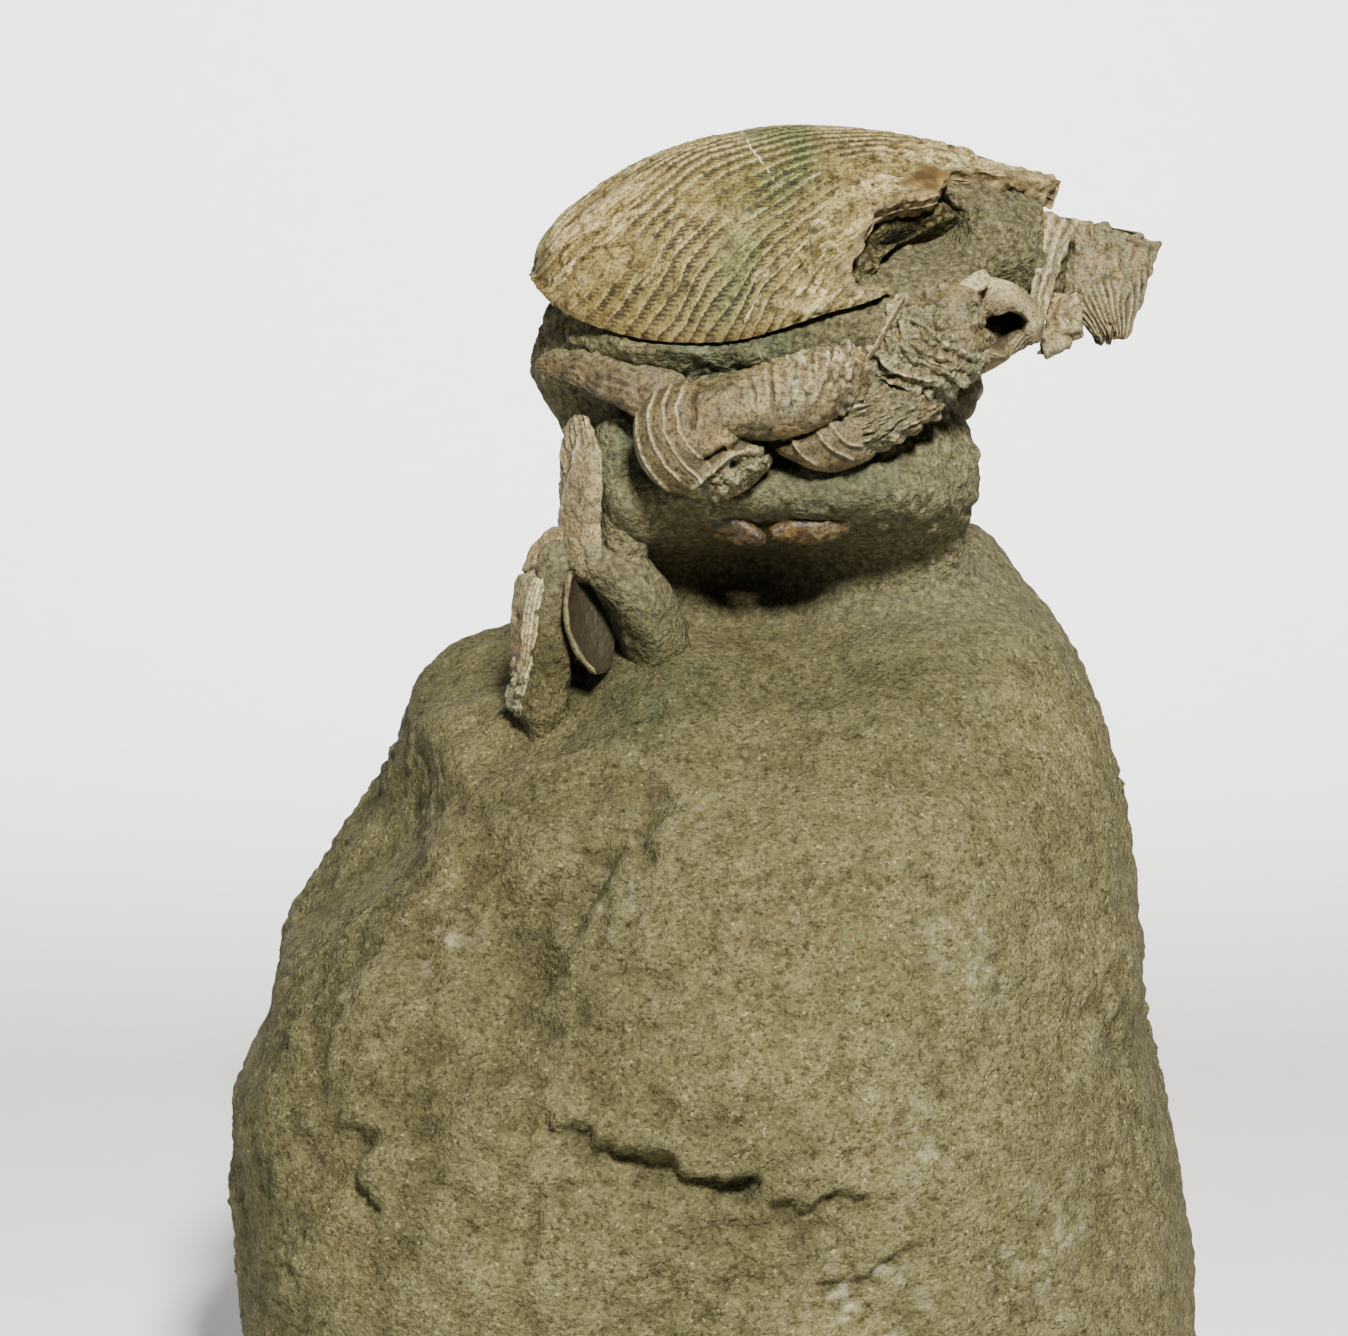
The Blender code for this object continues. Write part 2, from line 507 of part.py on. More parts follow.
# ---------------------------------------------------------------- the pieces
def socket(collection):
    """A bowl with a thick wall: the hollow end of a limb that is broken open."""
    grid = []
    for row in np.linspace(0.02, 1, 8):
        turn = row * math.pi * (1 - SOCKET_OPENS)
        ring = [
            (math.sin(turn) * math.cos(a), math.cos(turn), math.sin(turn) * math.sin(a))
            for a in np.arange(TUBE_SIDES) / TUBE_SIDES * 2 * math.pi
        ]
        grid.append(ring)
    bowl = np.array(grid) * SOCKET_RADII + SOCKET_MIDDLE
    rows, columns = bowl.shape[:2]
    points = [*bowl.reshape(-1, 3), np.array(SOCKET_MIDDLE) + (0, SOCKET_RADII[1], 0)]
    faces = ring_faces(rows, columns) + [
        (c, len(points) - 1, (c + 1) % columns) for c in range(columns)
    ]
    made = mesh_object("claw_socket", points, faces, "claw", collection)
    face_outwards(made)
    middle = Vector(SOCKET_MIDDLE) * MM
    first = made.data.polygons[0]
    if first.normal.dot(first.center - middle) < 0:
        made.data.flip_normals()
    solidify = made.modifiers.new("Thickness", "SOLIDIFY")
    solidify.thickness = SOCKET_WALL * MM
    solidify.offset = -1
    return made


def build():
    for old in list(bpy.data.objects):
        bpy.data.objects.remove(old)
    scene = bpy.context.scene.collection
    crab = bpy.data.collections.new("fossil_crab")
    cutters = bpy.data.collections.new("seat_cutters")
    scene.children.link(crab)
    scene.children.link(cutters)

    shell = carapace_grid(SHELL_ROWS, SHELL_COLUMNS)
    pieces = {
        "carapace": sheet_solid("carapace", shell, SHELL_THICK, "carapace", crab, SHELL_INSIDE),
        "claw_socket": socket(crab),
    }
    for name, stations in {"claw_arm": CLAW_ARM, "far_arm": FAR_ARM}.items():
        rings = tube_grid(stations, TUBE_ROWS, TUBE_SIDES)
        pieces[name] = closed_loft(name, rings, "claw", crab)
    for name, shape in CLAW_DOMES.items():
        rings = dome_grid(*shape, DOME_ROWS, DOME_COLUMNS)
        pieces[name] = closed_loft(name, rings, "claw", crab)
    for name, (edge_a, edge_b, bulge) in PLATES.items():
        grid = plate_grid(edge_a, edge_b, bulge, PLATE_ROWS, PLATE_COLUMNS + 1)
        kind = "amber" if name.startswith("belly") else "plate"
        thick = THICK.get(name, PLATE_THICK)
        inwards = (SHELL_INSIDE[0], SHELL_INSIDE[1], grid[..., 2].mean())
        pieces[name] = sheet_solid(name, grid, thick, kind, crab, inwards)

    seats = {name: seat_cutter(piece, cutters) for name, piece in pieces.items()}
    for name, neighbours in GIVES_WAY.items():
        for neighbour in neighbours:
            combine(pieces[name], seats[neighbour], "DIFFERENCE")

    rings = fit_sides(add_lumps(stone_grid(STONE_ROWS, STONE_COLUMNS), STONE_LUMPS))
    rings[0, :, 2] = 0
    stone = closed_loft("sandstone_block", tuck_under(rings, shell), "stone", crab, STONE_TOP)
    grid = plate_grid(*TONGUE, 0.3, PLATE_ROWS, PLATE_COLUMNS + 1)
    tongue = sheet_solid("stone_tongue", grid, TONGUE_THICK, "stone", cutters, (36, 20, 114))
    tongue.hide_render = True
    tongue.display_type = "WIRE"
    combine(stone, tongue, "UNION")
    for cutter in seats.values():
        combine(stone, cutter, "DIFFERENCE")
    for obj in crab.objects:
        obj.data.shade_smooth()


build()
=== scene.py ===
"""Looks of a fossil crab on its block of glauconitic sandstone: every piece of the crab's shell and the
stone that holds it, as dense meshes with their relief in the mesh and their finish in the materials.

Shapes are worked out in millimetres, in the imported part's frame: +X runs towards the crab's broken front
end, -Y is the side with the near claw and +Z is up."""

import math

import bpy
import numpy as np
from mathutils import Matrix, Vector
from mathutils.bvhtree import BVHTree


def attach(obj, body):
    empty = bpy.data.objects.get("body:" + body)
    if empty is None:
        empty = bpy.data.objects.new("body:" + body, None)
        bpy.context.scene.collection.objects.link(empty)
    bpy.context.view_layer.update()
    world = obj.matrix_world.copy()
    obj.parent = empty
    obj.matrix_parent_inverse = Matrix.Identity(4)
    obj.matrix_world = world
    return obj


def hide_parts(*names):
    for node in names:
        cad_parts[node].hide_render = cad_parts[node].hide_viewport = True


MM = 0.001

# ---------------------------------------------------------------- camera and light, in millimetres
CAMERA_AIM = (-4.7, 0, 74.3)
CAMERA_AWAY = 600
CAMERA_DOWN = 8          # degrees that it looks down by
FIELD_WIDTH = 134.8      # width of the field of view, at the aim
SENSOR = 36

# ---------------------------------------------------------------- the stone's shape
SQUARENESS = 2.35        # plan of the stone: 2 is an ellipse, more is squarer
# Rings from the foot to the top: middle x, y; then how far the ring reaches to the right, back, left
# and front of it; then the ring's height at those four sides.
STONE_RINGS = [
    # block
    (0, -4, 47.5, 34.0, 46.8, 39.0, 0.0, 0.0, 0.0, 0.0),
    (0, -4, 48.8, 35.5, 48.2, 40.5, 2.2, 2.2, 2.2, 2.2),
    (0, -4, 47.4, 36.5, 49.0, 41.0, 17.0, 17.0, 19.0, 17.0),
    (0, -4, 44.8, 36.0, 47.4, 40.0, 31.0, 31.0, 30.5, 31.0),
    (0, -3, 42.0, 34.5, 43.2, 37.0, 45.0, 44.0, 42.0, 44.0),
    (0, -2, 41.2, 32.5, 38.6, 34.5, 57.0, 56.0, 51.5, 54.0),
    (0, 0, 38.6, 30.0, 33.4, 33.5, 68.0, 67.0, 60.5, 61.5),
    (0, 2, 34.5, 25.5, 27.8, 30.0, 76.8, 75.5, 68.0, 66.0),
    # shelf round the neck
    (0, 2, 30.5, 20.0, 22.5, 24.0, 80.4, 80.5, 71.5, 71.5),
    (3, 2, 24.5, 13.0, 19.5, 15.5, 82.2, 82.5, 74.0, 76.8),
    # neck, with the hollow under the claw at its front
    (5, 1, 20.3, 10.5, 18.5, 9.0, 84.0, 85.5, 79.0, 79.6),
    (5, 0, 19.2, 10.5, 18.0, 7.0, 87.6, 89.0, 85.0, 84.5),
    (5, 0, 20.0, 11.5, 18.3, 13.5, 91.0, 92.5, 90.0, 89.6),
    # ledge below the claw
    (5, 0, 20.4, 12.0, 19.0, 16.4, 94.3, 95.0, 94.0, 92.4),
    (5, 0, 19.6, 12.5, 19.6, 13.6, 98.3, 98.0, 97.5, 96.2),
    (5, 0, 18.4, 13.0, 20.6, 12.2, 102.0, 101.5, 101.0, 100.5),
    # band between the claw and the carapace, and the filling of the carapace
    (5, 0, 22.0, 13.3, 22.4, 14.6, 106.0, 105.5, 104.8, 104.6),
    (6, 0, 27.0, 13.5, 23.4, 15.4, 110.5, 110.0, 109.0, 107.6),
    (6, 0, 27.6, 13.5, 22.4, 14.4, 115.5, 114.0, 113.5, 112.0),
    (6, 0, 26.0, 11.8, 20.0, 12.2, 119.6, 118.5, 118.0, 118.0),
    (7, 0, 23.0, 9.0, 15.5, 8.5, 121.6, 122.6, 122.4, 122.4),
    (8, 0, 15.0, 5.0, 8.5, 4.6, 123.6, 125.0, 124.6, 124.8),
]
BLOCK_SHARE = 0.46       # of the rings' run, where the block's mesh hands over to the neck's
BLOCK_ROWS, NECK_ROWS, FOOT_ROWS = 200, 150, 11
STONE_COLUMNS = 360
# Swellings and hollows: middle x, y, z; reach x, y, z; and the push x, y, z at the middle.
STONE_LUMPS = [
    (-36, -22, 38, 20, 20, 20, -4.5, -3.0, 0),   # corner between the front face and the left flank
    (-34, 16, 52, 20, 20, 20, -5.0, 4.0, 0),     # left shoulder, at the back
    (16, -40, 46, 20, 20, 20, 0, -3.5, 0),       # belly of the front face
    (-18, -34, 52, 12, 12, 12, 0, 3.0, 0),       # valley left of the belly
    (-34, -6, 60, 9, 9, 13, 4.0, 2.0, -3.0),     # valley behind the left ridge
    (-22, 15, 73, 9, 9, 8, -1.0, 2.0, 2.2),      # hump behind the legs
    (-20, -13, 73, 9, 7, 7, 0, 0, -4.0),         # dip of the shelf under the legs
    (25, 13, 80, 6, 8, 7, 0.6, 1.5, 6.3),        # hump behind the neck, right
    (3.5, -6, 85, 9.0, 8, 6, 0, 6.0, 0),         # hollow under the claw
    (-10, -9, 91, 5, 6, 7, 0, -4.2, 0),          # pillar behind the legs
    (-16, -9, 76, 5, 6, 7, -1.0, -4.0, 0),       # foot of the pillar, which carries the lower leg
    (-12.6, -14, 79.5, 2.2, 5, 4.5, 0, 5.0, 0),  # dark hollow beside the leg's blade
    (-6.5, -12, 79, 5, 6, 7, 0, -3.6, 0),        # wall at the right of that hollow
    (19, -8, 93, 8, 8, 8, 0.4, -2.5, 0),         # swelling at the right of the ledge
    (10, -17, 95.5, 12, 6, 4, 0, -1.6, 1.0),     # lip of the ledge, under the hand
    (-8, -13, 108.6, 9, 6, 2.6, 0, -2.0, 0),     # band of stone under the carapace's margin, left
    (-7, -14, 107.4, 8, 5, 2.2, 0, -1.2, 0),     # the same band, nearer the margin
    (3, -15, 107.6, 6, 5, 2.0, 0, -1.3, 0),      # and further right
    (-17, -4, 98, 4, 6, 4, -1.6, 0, 0),          # ragged edge of the neck, left
    (-16, 3, 103, 5, 6, 4, -2.0, 0, 0),          # ragged left end of the band under the carapace
    (-15, -7, 100, 4, 4, 4, 2.5, 2.0, 0),        # notch under the side plate
    (19.5, -10, 118.6, 4.5, 5, 3.6, 0, 6.0, 0),  # hollow inside the broken edge of the carapace
    (21.0, -9, 118.8, 3, 5, 3, 0, 4.5, 0),       # the hollow's deepest part
    (15.5, -13, 116.6, 4, 5, 4, 0, 3.5, 0),      # the hollow's left end
    (27.6, -9, 110, 5.0, 5.0, 5.0, 0, 6.5, 0),   # hollow behind the claw's open socket
]
# Outline of the block as seen from the near side: x and z of its left and right edges.
LEFT_SIDE = [
    (-48.5, 0), (-48, 8.5), (-49, 22.5), (-49, 31.5), (-48, 35), (-45.5, 39), (-44.5, 47.5),
    (-40, 54), (-35, 61), (-31, 70.5),
]
RIGHT_SIDE = [
    (49, 0), (48, 7.5), (47.5, 16.5), (46, 25.5), (44, 34.5), (42.5, 41), (41.5, 54), (40.5, 61),
    (39, 67), (37.5, 72), (35, 77),
]
# Steps in the front face, as lines of x, z: the stone on the right of the line's run stands proud.
# Then the step's height, its softness, and how far it fades over.
STONE_STEPS = [
    ([(5, 31.6), (-3.2, 32.8), (-8, 35.0), (-12, 35.4), (-15, 37.0), (-17, 39.4)], 2.7, 0.35, 5),
    ([(14, 29.6), (9, 31.0), (4, 31.2)], 1.5, 0.6, 4),
    ([(20, 25.0), (14, 23.4), (7, 23.6)], 1.0, 0.6, 4),
    ([(-17, 39.4), (-17.0, 47), (-15.4, 54), (-10.8, 60), (-5, 63)], 3.2, 2.1, 9),
    ([(12, 42.5), (5, 40.0), (-2, 38.4), (-6, 39.2)], 0.7, 0.9, 4),
    ([(-34.0, 27), (-34.6, 29), (-34.8, 31.5), (-33, 34)], 2.6, 0.6, 2.4),
    ([(-34, 34), (-38.5, 36), (-39.8, 43.7), (-35.9, 52.3), (-30.1, 60), (-23.4, 64.5)], 1.6, 2.2, 7),
    ([(-28.5, 22), (-27.5, 40), (-25.5, 52), (-22, 62)], 0.9, 3.0, 7),
]
# Pits and knobs: middle x, y, z; radius; and how far the stone stands out there.
STONE_SPOTS = [
    (0.6, -33, 58.1, 1.5, -1.1),
    (29.6, -38, 44.8, 0.8, -1.8),
    (-33.6, -31, 27.5, 1.2, -3.0),
    (-38.1, -23, 40.5, 3.0, 1.6),
    (-16.8, -36, 39.4, 1.3, -2.2),
    (-2.5, -37, 37.0, 1.8, 1.0),
    (5.0, -38, 35.8, 2.2, 0.9),
    (12, -41, 56, 6, 0.8),
    (-26, -31, 46, 4, 0.9),
    (-9, -34, 42, 3.5, 0.8),
]
# Where the sandstone is stained blue green: middle x, y, z; radius; and how strongly.
GREEN_STAINS = [
    (1, -13, 106.8, 4.5, 1.3), (6, -13, 107.8, 4.0, 0.6), (-3, -13, 108.4, 4.0, 0.7),
    (-8, -12, 98, 4, 0.6), (-6, -17, 73.5, 6, 0.4), (-9, -15, 77, 5, 0.25), (12, -15, 97, 7, 0.35),
    (14, -20, 82, 16, 0.25), (16, -16, 103, 4, 0.7),
]
# Patches of painted shade, where the stone is darkened in hollows, under overhangs and on faces that get
# less light: middle x, y, z; radius; share.
PAINTED_SHADE_PATCHES = [
    (12, -20, 78, 15, 0.20), (-34, 12, 66, 22, 0.25), (27, 14, 82, 9, 0.3), (3, -6, 84, 12, 0.25),
    (-16, -11, 77, 6, 0.7), (-10, -12, 79, 5, 0.25), (2, -18, 77, 18, 0.25),
    (-16, -36, 48, 17, 0.34), (-38, -20, 30, 24, 0.26), (3, -40, 28, 9, 0.5), (-24, -20, 62, 14, 0.25),
    (10, -17, 108.4, 5.5, 0.3),
]
# Where a thin pale crust of lime or a fresh chip shows: middle x, y, z; radius; and share.
PALE_CRUSTS = [
    (-3, -28, 62, 3, 0.8), (13, -42, 20, 4.5, 0.8), (-12, -33, 56, 3.5, 0.5), (-5, -32, 55, 3, 0.5),
    (18, -41, 36, 5, 0.35), (-27, -30, 52, 3, 0.6), (-34, -26, 46, 3, 0.4), (24, -38, 52, 6, 0.25),
    (-10, -36, 30, 4, 0.35), (30, -36, 24, 6, 0.3), (0, -13, 107, 5, 0.5),
]
# The stone's tongue, which carries the pieces of the crab's front, between two lines of x, y, z.
TONGUE = (
    [(29.0, 0.5, 121.0), (33.0, 1.0, 119.4), (37.0, 1.4, 118.0), (41.2, 2.2, 116.2)],
    [(29.0, 0.0, 108.6), (33.0, 0.5, 110.2), (37.0, 1.0, 112.0), (40.4, 1.8, 114.0)],
)
# Ribs of stone that carry the limbs, as stations: x, y, z; half the height; half the depth.
STONE_RIBS = {
    "behind_claw": [
        (-4.0, -13.0, 102.0, 1.0, 1.0), (-1.0, -13.6, 102.4, 3.2, 3.0), (6.0, -13.8, 103.0, 3.4, 3.4),
        (14.0, -12.6, 104.4, 3.4, 3.6), (22.0, -10.0, 107.0, 3.8, 3.6), (27.0, -7.0, 109.0, 1.0, 1.0),
    ],
    "leg_matrix": [
        (-15.4, -9.6, 88.6, 0.6, 0.8), (-16.2, -9.8, 86.4, 1.7, 2.2), (-16.6, -10.4, 81.0, 2.1, 2.8),
        (-17.0, -10.8, 75.6, 2.4, 3.2), (-17.4, -11.2, 71.0, 2.6, 3.4), (-17.6, -11.4, 68.4, 1.4, 2.4),
    ],
    "leg_shoulder": [
        (-16.4, -8.6, 86.2, 0.6, 0.6), (-14.2, -10.0, 86.2, 1.6, 2.2), (-11.4, -10.6, 85.8, 2.4, 3.2),
        (-8.4, -10.4, 83.4, 3.2, 4.2), (-6.8, -9.6, 79.4, 3.4, 4.4), (-6.0, -8.8, 74.6, 2.6, 3.4),
    ],
    "pillar": [
        (-10.2, -9.6, 101.0, 1.2, 1.4), (-9.9, -9.8, 99.6, 2.4, 2.6), (-9.8, -10.0, 95.0, 2.6, 2.8),
        (-9.6, -10.2, 90.0, 2.6, 2.8), (-9.4, -10.4, 85.0, 2.4, 2.6),
    ],
}

# ---------------------------------------------------------------- the carapace's shape
CREST = [
    (-18.3, -1.0, 114.8), (-17.7, -0.6, 116.7), (-15.9, -0.3, 118.9), (-12.8, 0, 121.6),
    (-7.9, 0, 124.6), (-1.5, 0, 127.0), (6.5, 0, 128.3), (14.0, 0, 128.0), (20.6, 0, 127.0),
    (26.0, 0, 125.4), (30.0, 0, 124.1), (33.6, 0, 122.9),
]
NEAR_MARGIN = [
    (-18.4, -1.0, 115.0), (-18.3, -5.6, 113.6), (-17.2, -8.8, 112.2), (-15.0, -11.6, 110.7),
    (-11.6, -13.8, 109.5), (-7.6, -15.2, 108.6), (-3.0, -16.0, 108.3), (1.6, -16.2, 108.6),
    (6.0, -16.2, 109.8), (10.0, -15.8, 111.1), (13.6, -14.8, 112.0), (17.0, -13.2, 113.3),
]
FAR_MARGIN = [
    (-18.4, -1.0, 115.0), (-18.2, 3.4, 114.4), (-16.8, 6.8, 113.6), (-14.4, 10.0, 112.8),
    (-10.8, 12.6, 112.2), (-6.2, 14.4, 111.8), (-1.0, 15.6, 111.7), (4.6, 16.2, 111.9),
    (10.2, 16.2, 112.4), (16.0, 15.6, 113.0), (21.6, 14.2, 114.0), (26.6, 12.2, 115.4),
]
# Where the shell breaks off: degrees from the crest, near side positive, and share of the length.
BROKEN_EDGE = [
    (-90, 0.98), (-72, 0.97), (-54, 0.94), (-36, 0.96), (-18, 0.97), (-2, 1.0), (4, 1.0), (7, 0.98),
    (10.5, 0.95), (14, 0.905), (17.5, 0.86), (22, 0.875), (28, 0.90), (34, 0.93), (38, 0.92),
    (41.5, 0.885), (48.5, 0.855), (53, 0.868), (58.5, 0.87), (65.5, 0.873), (71.5, 0.867), (79, 0.89),
    (83, 0.913), (85.5, 0.94), (87.5, 0.975), (90, 0.98),
]
WHOLE_SHARE = 0.70       # of the length, up to which the shell is whole
WHOLE_ROWS = 0.74        # of the rows of points, which lie on that part
SHELL_ROWS = 280
SHELL_THICK = 1.2
NEAR_ARC = 26.0          # mm round the near half, from the crest to the margin
SHELL_LENGTH = 52.0      # mm along the crest
TERRACE_STEP = 0.42      # height of one terrace's step, mm
SHELL_INSIDE = (5, 0, 112)
BELOW_SHELL = (5, 0, 100)
TUCK_FROM = 107          # height from which the stone is laid under the shell
# Marks on the near half, as lines of (share of the length, degrees from the crest).
PALE_VEIN = [(0.464, 0), (0.493, 12.6), (0.536, 24.3), (0.571, 31.5), (0.618, 39.6)]
DARK_CRACK = [(0.443, 36), (0.461, 45), (0.475, 54), (0.50, 71), (0.505, 86)]
GREEN_BAND = [(0.56, 8), (0.614, 31.5), (0.643, 45), (0.629, 63), (0.60, 81)]


# ---------------------------------------------------------------- noise
def random_at(cell, seed):
    """A random number from 0 to 1 for each whole-numbered cell."""
    x, y, z = (cell[..., i].astype(np.uint32) for i in range(3))
    mixed = x * np.uint32(73856093) ^ y * np.uint32(19349663) ^ z * np.uint32(83492791)
    mixed = (mixed ^ np.uint32(seed * 7919 + 1)) * np.uint32(2654435761)
    mixed = (mixed ^ (mixed >> np.uint32(15))) * np.uint32(2246822519)
    return (mixed ^ (mixed >> np.uint32(13))).astype(float) / 2**32


def noise(points, size, seed=0):
    """Smooth noise from -1 to 1, in lumps about `size` mm across."""
    at = points / size + seed * 0.37
    cell = np.floor(at).astype(np.int64)
    share = at - cell
    share = share * share * (3 - 2 * share)
    total = 0
    for corner in np.ndindex(2, 2, 2):
        weight = np.where(corner, share, 1 - share).prod(-1)
        total = total + weight * random_at(cell + corner, seed)
    return 2 * total - 1


def layers(points, size, count, seed=0, keep=0.5):
    """Noise in several sizes, each about half the last."""
    total = sum(keep**i * noise(points, size * 0.53**i, seed + i) for i in range(count))
    return total / sum(keep**i for i in range(count))


def knobs(points, size, count, seed=0):
    """Noise from -0.5 to 0.5 that swells into rounded knobs between sharp clefts."""
    return np.abs(layers(points, size, count, seed)) * 2.2 - 0.5


def crumbs(points, size, seed=0):
    """Noise from -0.5 up that is lowest in the middle of each cell, in cells about `size` mm across."""
    at = points / size
    cell = np.floor(at).astype(np.int64)
    best = np.full(points.shape[:-1], 9.0)
    for offset in np.ndindex(3, 3, 3):
        near = cell + offset - 1
        middle = near + np.stack([random_at(near, seed + k) for k in range(3)], -1)
        best = np.minimum(best, ((at - middle) ** 2).sum(-1))
    return np.sqrt(best) - 0.5


def drift(points, size, seed, count=3):
    """Noise of its own for each of `count` directions."""
    return np.stack([noise(points, size, seed + k) for k in range(count)], -1)


def unit(value):
    """A value kept from 0 to 1."""
    return np.clip(value, 0, 1)


def soft_step(low, high, value):
    """0 at `low` and 1 at `high`, which may be the lower of the two."""
    share = unit((value - low) / (high - low))
    return share * share * (3 - 2 * share)


def bell(value, width):
    """1 where the value is 0, falling to 0 about 1.5 widths away."""
    return np.exp(-((value / width) ** 2))


def flat_bell(value, width):
    """1 where the value is near 0, falling steeply to 0 at about one width."""
    return np.exp(-((value / width) ** 4))


def bump_at(points, middle, radius):
    """1 at the middle, falling to 0 about 1.5 radii away."""
    return np.exp(-(((points - middle) / radius) ** 2).sum(-1))


def off_whole(value):
    """How far each value is from a whole number."""
    return np.abs(value - np.round(value))


def side_view(points):
    """The x and z of each point, which is what the near side shows."""
    return points[..., ::2]


# ---------------------------------------------------------------- curves and grids of points
def smooth(points, at):
    """The smooth curve through points of any dimension, read at the shares `at` of its length."""
    points = np.asarray(points, float)
    steps = np.sqrt(np.linalg.norm(np.diff(points, axis=0), axis=1))
    knots = np.concatenate([[0], np.cumsum(steps)])
    chords = np.diff(points, axis=0) / steps[:, None]
    share = (steps[1:] / (steps[1:] + steps[:-1]))[:, None]
    middle = chords[:-1] * share + chords[1:] * (1 - share)
    slopes = np.vstack([chords[:1], middle, chords[-1:]])
    place = np.asarray(at, float) * knots[-1]
    i = np.clip(np.searchsorted(knots, place, side="right") - 1, 0, len(steps) - 1)
    step = steps[i][..., None]
    f = (place - knots[i])[..., None] / step
    return (
        (1 + 2 * f) * (1 - f) ** 2 * points[i] + f * (1 - f) ** 2 * step * slopes[i]
        + f * f * (3 - 2 * f) * points[i + 1] - f * f * (1 - f) * step * slopes[i + 1]
    )


def line_distance(flat, line):
    """Signed distance from a line of points in the same two dimensions, positive on its right."""
    best = np.full(flat.shape[:-1], 1e9)
    signed = np.zeros_like(best)
    for start, end in zip(line[:-1], line[1:]):
        start, run = np.array(start, float), np.subtract(end, start)
        share = unit(((flat - start) @ run) / (run @ run))
        away = flat - start - share[..., None] * run
        distance = np.linalg.norm(away, axis=-1)
        side = np.sign(run[1] * away[..., 0] - run[0] * away[..., 1])
        closer = distance < best
        best = np.where(closer, distance, best)
        signed = np.where(closer, side * distance, signed)
    return signed


def stone_grid(share, columns):
    """Points of the stone, one ring for each share of the rings' run, closest together in front."""
    rings = smooth(STONE_RINGS, share)[:, None, :]
    turn = np.arange(columns) / columns * 2 * math.pi
    angle = turn - 0.4 * np.cos(turn)
    c, s = np.cos(angle), np.sin(angle)
    bulge = (np.abs(c) ** SQUARENESS + np.abs(s) ** SQUARENESS) ** (-1 / SQUARENESS)
    x = rings[..., 0] + np.where(c > 0, rings[..., 2], rings[..., 4]) * c * bulge
    y = rings[..., 1] + np.where(s > 0, rings[..., 3], rings[..., 5]) * s * bulge
    z = (np.where(c > 0, rings[..., 6], rings[..., 8]) * c * c
         + np.where(s > 0, rings[..., 7], rings[..., 9]) * s * s)
    return np.stack([x, y, z], axis=-1)


def even_shares(start, end, rows):
    """Shares of the rings' run that put the rows of points evenly up the stone."""
    fine = np.linspace(start, end, 1500)
    rings = stone_grid(fine, 8)
    length = np.linalg.norm(np.diff(rings, axis=0), axis=2).mean(1)
    run = np.concatenate([[0], np.cumsum(length + 1e-6)])
    return np.interp(np.linspace(0, run[-1], rows), run, fine)


def add_lumps(points, lumps):
    """Points pushed by each lump, most at its middle."""
    push = np.zeros_like(points)
    for lump in np.array(lumps, float):
        near = np.exp(-(((points - lump[:3]) / lump[3:6]) ** 2).sum(-1))
        push += near[..., None] * lump[6:]
    return points + push


def fit_sides(points):
    """Moves the block's sides so that its outline from the near side follows the two side lines."""
    rows = np.arange(len(points))
    for side, line in ((-1, LEFT_SIDE), (1, RIGHT_SIDE)):
        x, z = np.array(line).T
        reach = points[..., 0] * side
        at = reach.argmax(1)
        edge, height = points[rows, at, 0], points[rows, at, 2]
        shift = (np.interp(height, z, x) - edge) * soft_step(0, 4, height)
        shift = shift * soft_step(z[-1] + 3, z[-1] - 1, height)
        shift = np.convolve(np.pad(shift, 3, "edge"), np.ones(7) / 7, "valid")
        share = unit(reach / np.abs(edge)[:, None]) ** 4
        points[..., 0] += shift[:, None] * share
    return points


def carapace_at(share, across):
    """Points of the carapace's outside, at shares of its length and degrees from its crest. The near
    side's degrees are positive."""
    crest, near, far = (smooth(line, share) for line in (CREST, NEAR_MARGIN, FAR_MARGIN))
    turn = np.radians(np.abs(across))[..., None]
    margin = np.where(across[..., None] > 0, near, far)
    flat = crest + (margin - crest) * np.sin(turn)
    drop = crest + (margin - crest) * (1 - np.cos(turn))
    return np.concatenate([flat[..., :2], drop[..., 2:]], axis=-1)


def shell_chart(rows, across, jag=0.0):
    """Share of the length and degrees from the crest for a grid over the shell, up to its broken edge."""
    ends = np.interp(across, *zip(*BROKEN_EDGE))
    place = np.stack([across / 4, across * 0, across * 0], -1)
    ends = ends + jag * (noise(place, 1.6, 5) + 0.7 * noise(place, 0.5, 6)) * soft_step(1.0, 0.96, ends)
    run = np.linspace(0, 1, rows)[:, None]
    share = np.where(run < WHOLE_ROWS, run / WHOLE_ROWS * WHOLE_SHARE,
                     WHOLE_SHARE + (ends - WHOLE_SHARE) * (run - WHOLE_ROWS) / (1 - WHOLE_ROWS))
    return share, share * 0 + across


def limb_grid(stations, rows, sides):
    """Rings of points round a limb, with the turn of each in degrees: 0 is its upper or outer side and
    90 faces the near side. The share of its length comes too."""
    line = smooth(stations, np.linspace(0, 1, rows))
    along = np.gradient(line[:, :3], axis=0)
    along /= np.linalg.norm(along, axis=1, keepdims=True)
    near = np.array((0, -1.0, 0)) + along * along[:, 1:2]
    near /= np.linalg.norm(near, axis=1, keepdims=True)
    rise = np.cross(near, along)
    angle = np.arange(sides) / sides * 2 * math.pi
    points = (
        line[:, None, :3]
        + rise[:, None] * (np.cos(angle)[:, None] * line[:, None, 3, None])
        + near[:, None] * (np.sin(angle)[:, None] * line[:, None, 4, None])
    )
    share = np.linspace(0, 1, rows)[:, None] * np.ones(sides)
    return points, share, share * 0 + np.degrees(angle)


def blob_grid(middle, radii, rows, columns):
    """Points of an ellipsoid, in rings from its foot to its top."""
    rise = np.linspace(0.02, 0.98, rows)[:, None] * math.pi
    angle = np.arange(columns) / columns * 2 * math.pi
    return np.stack([np.sin(rise) * np.cos(angle), np.sin(rise) * np.sin(angle),
                     -np.cos(rise) + 0 * angle], -1) * radii + middle


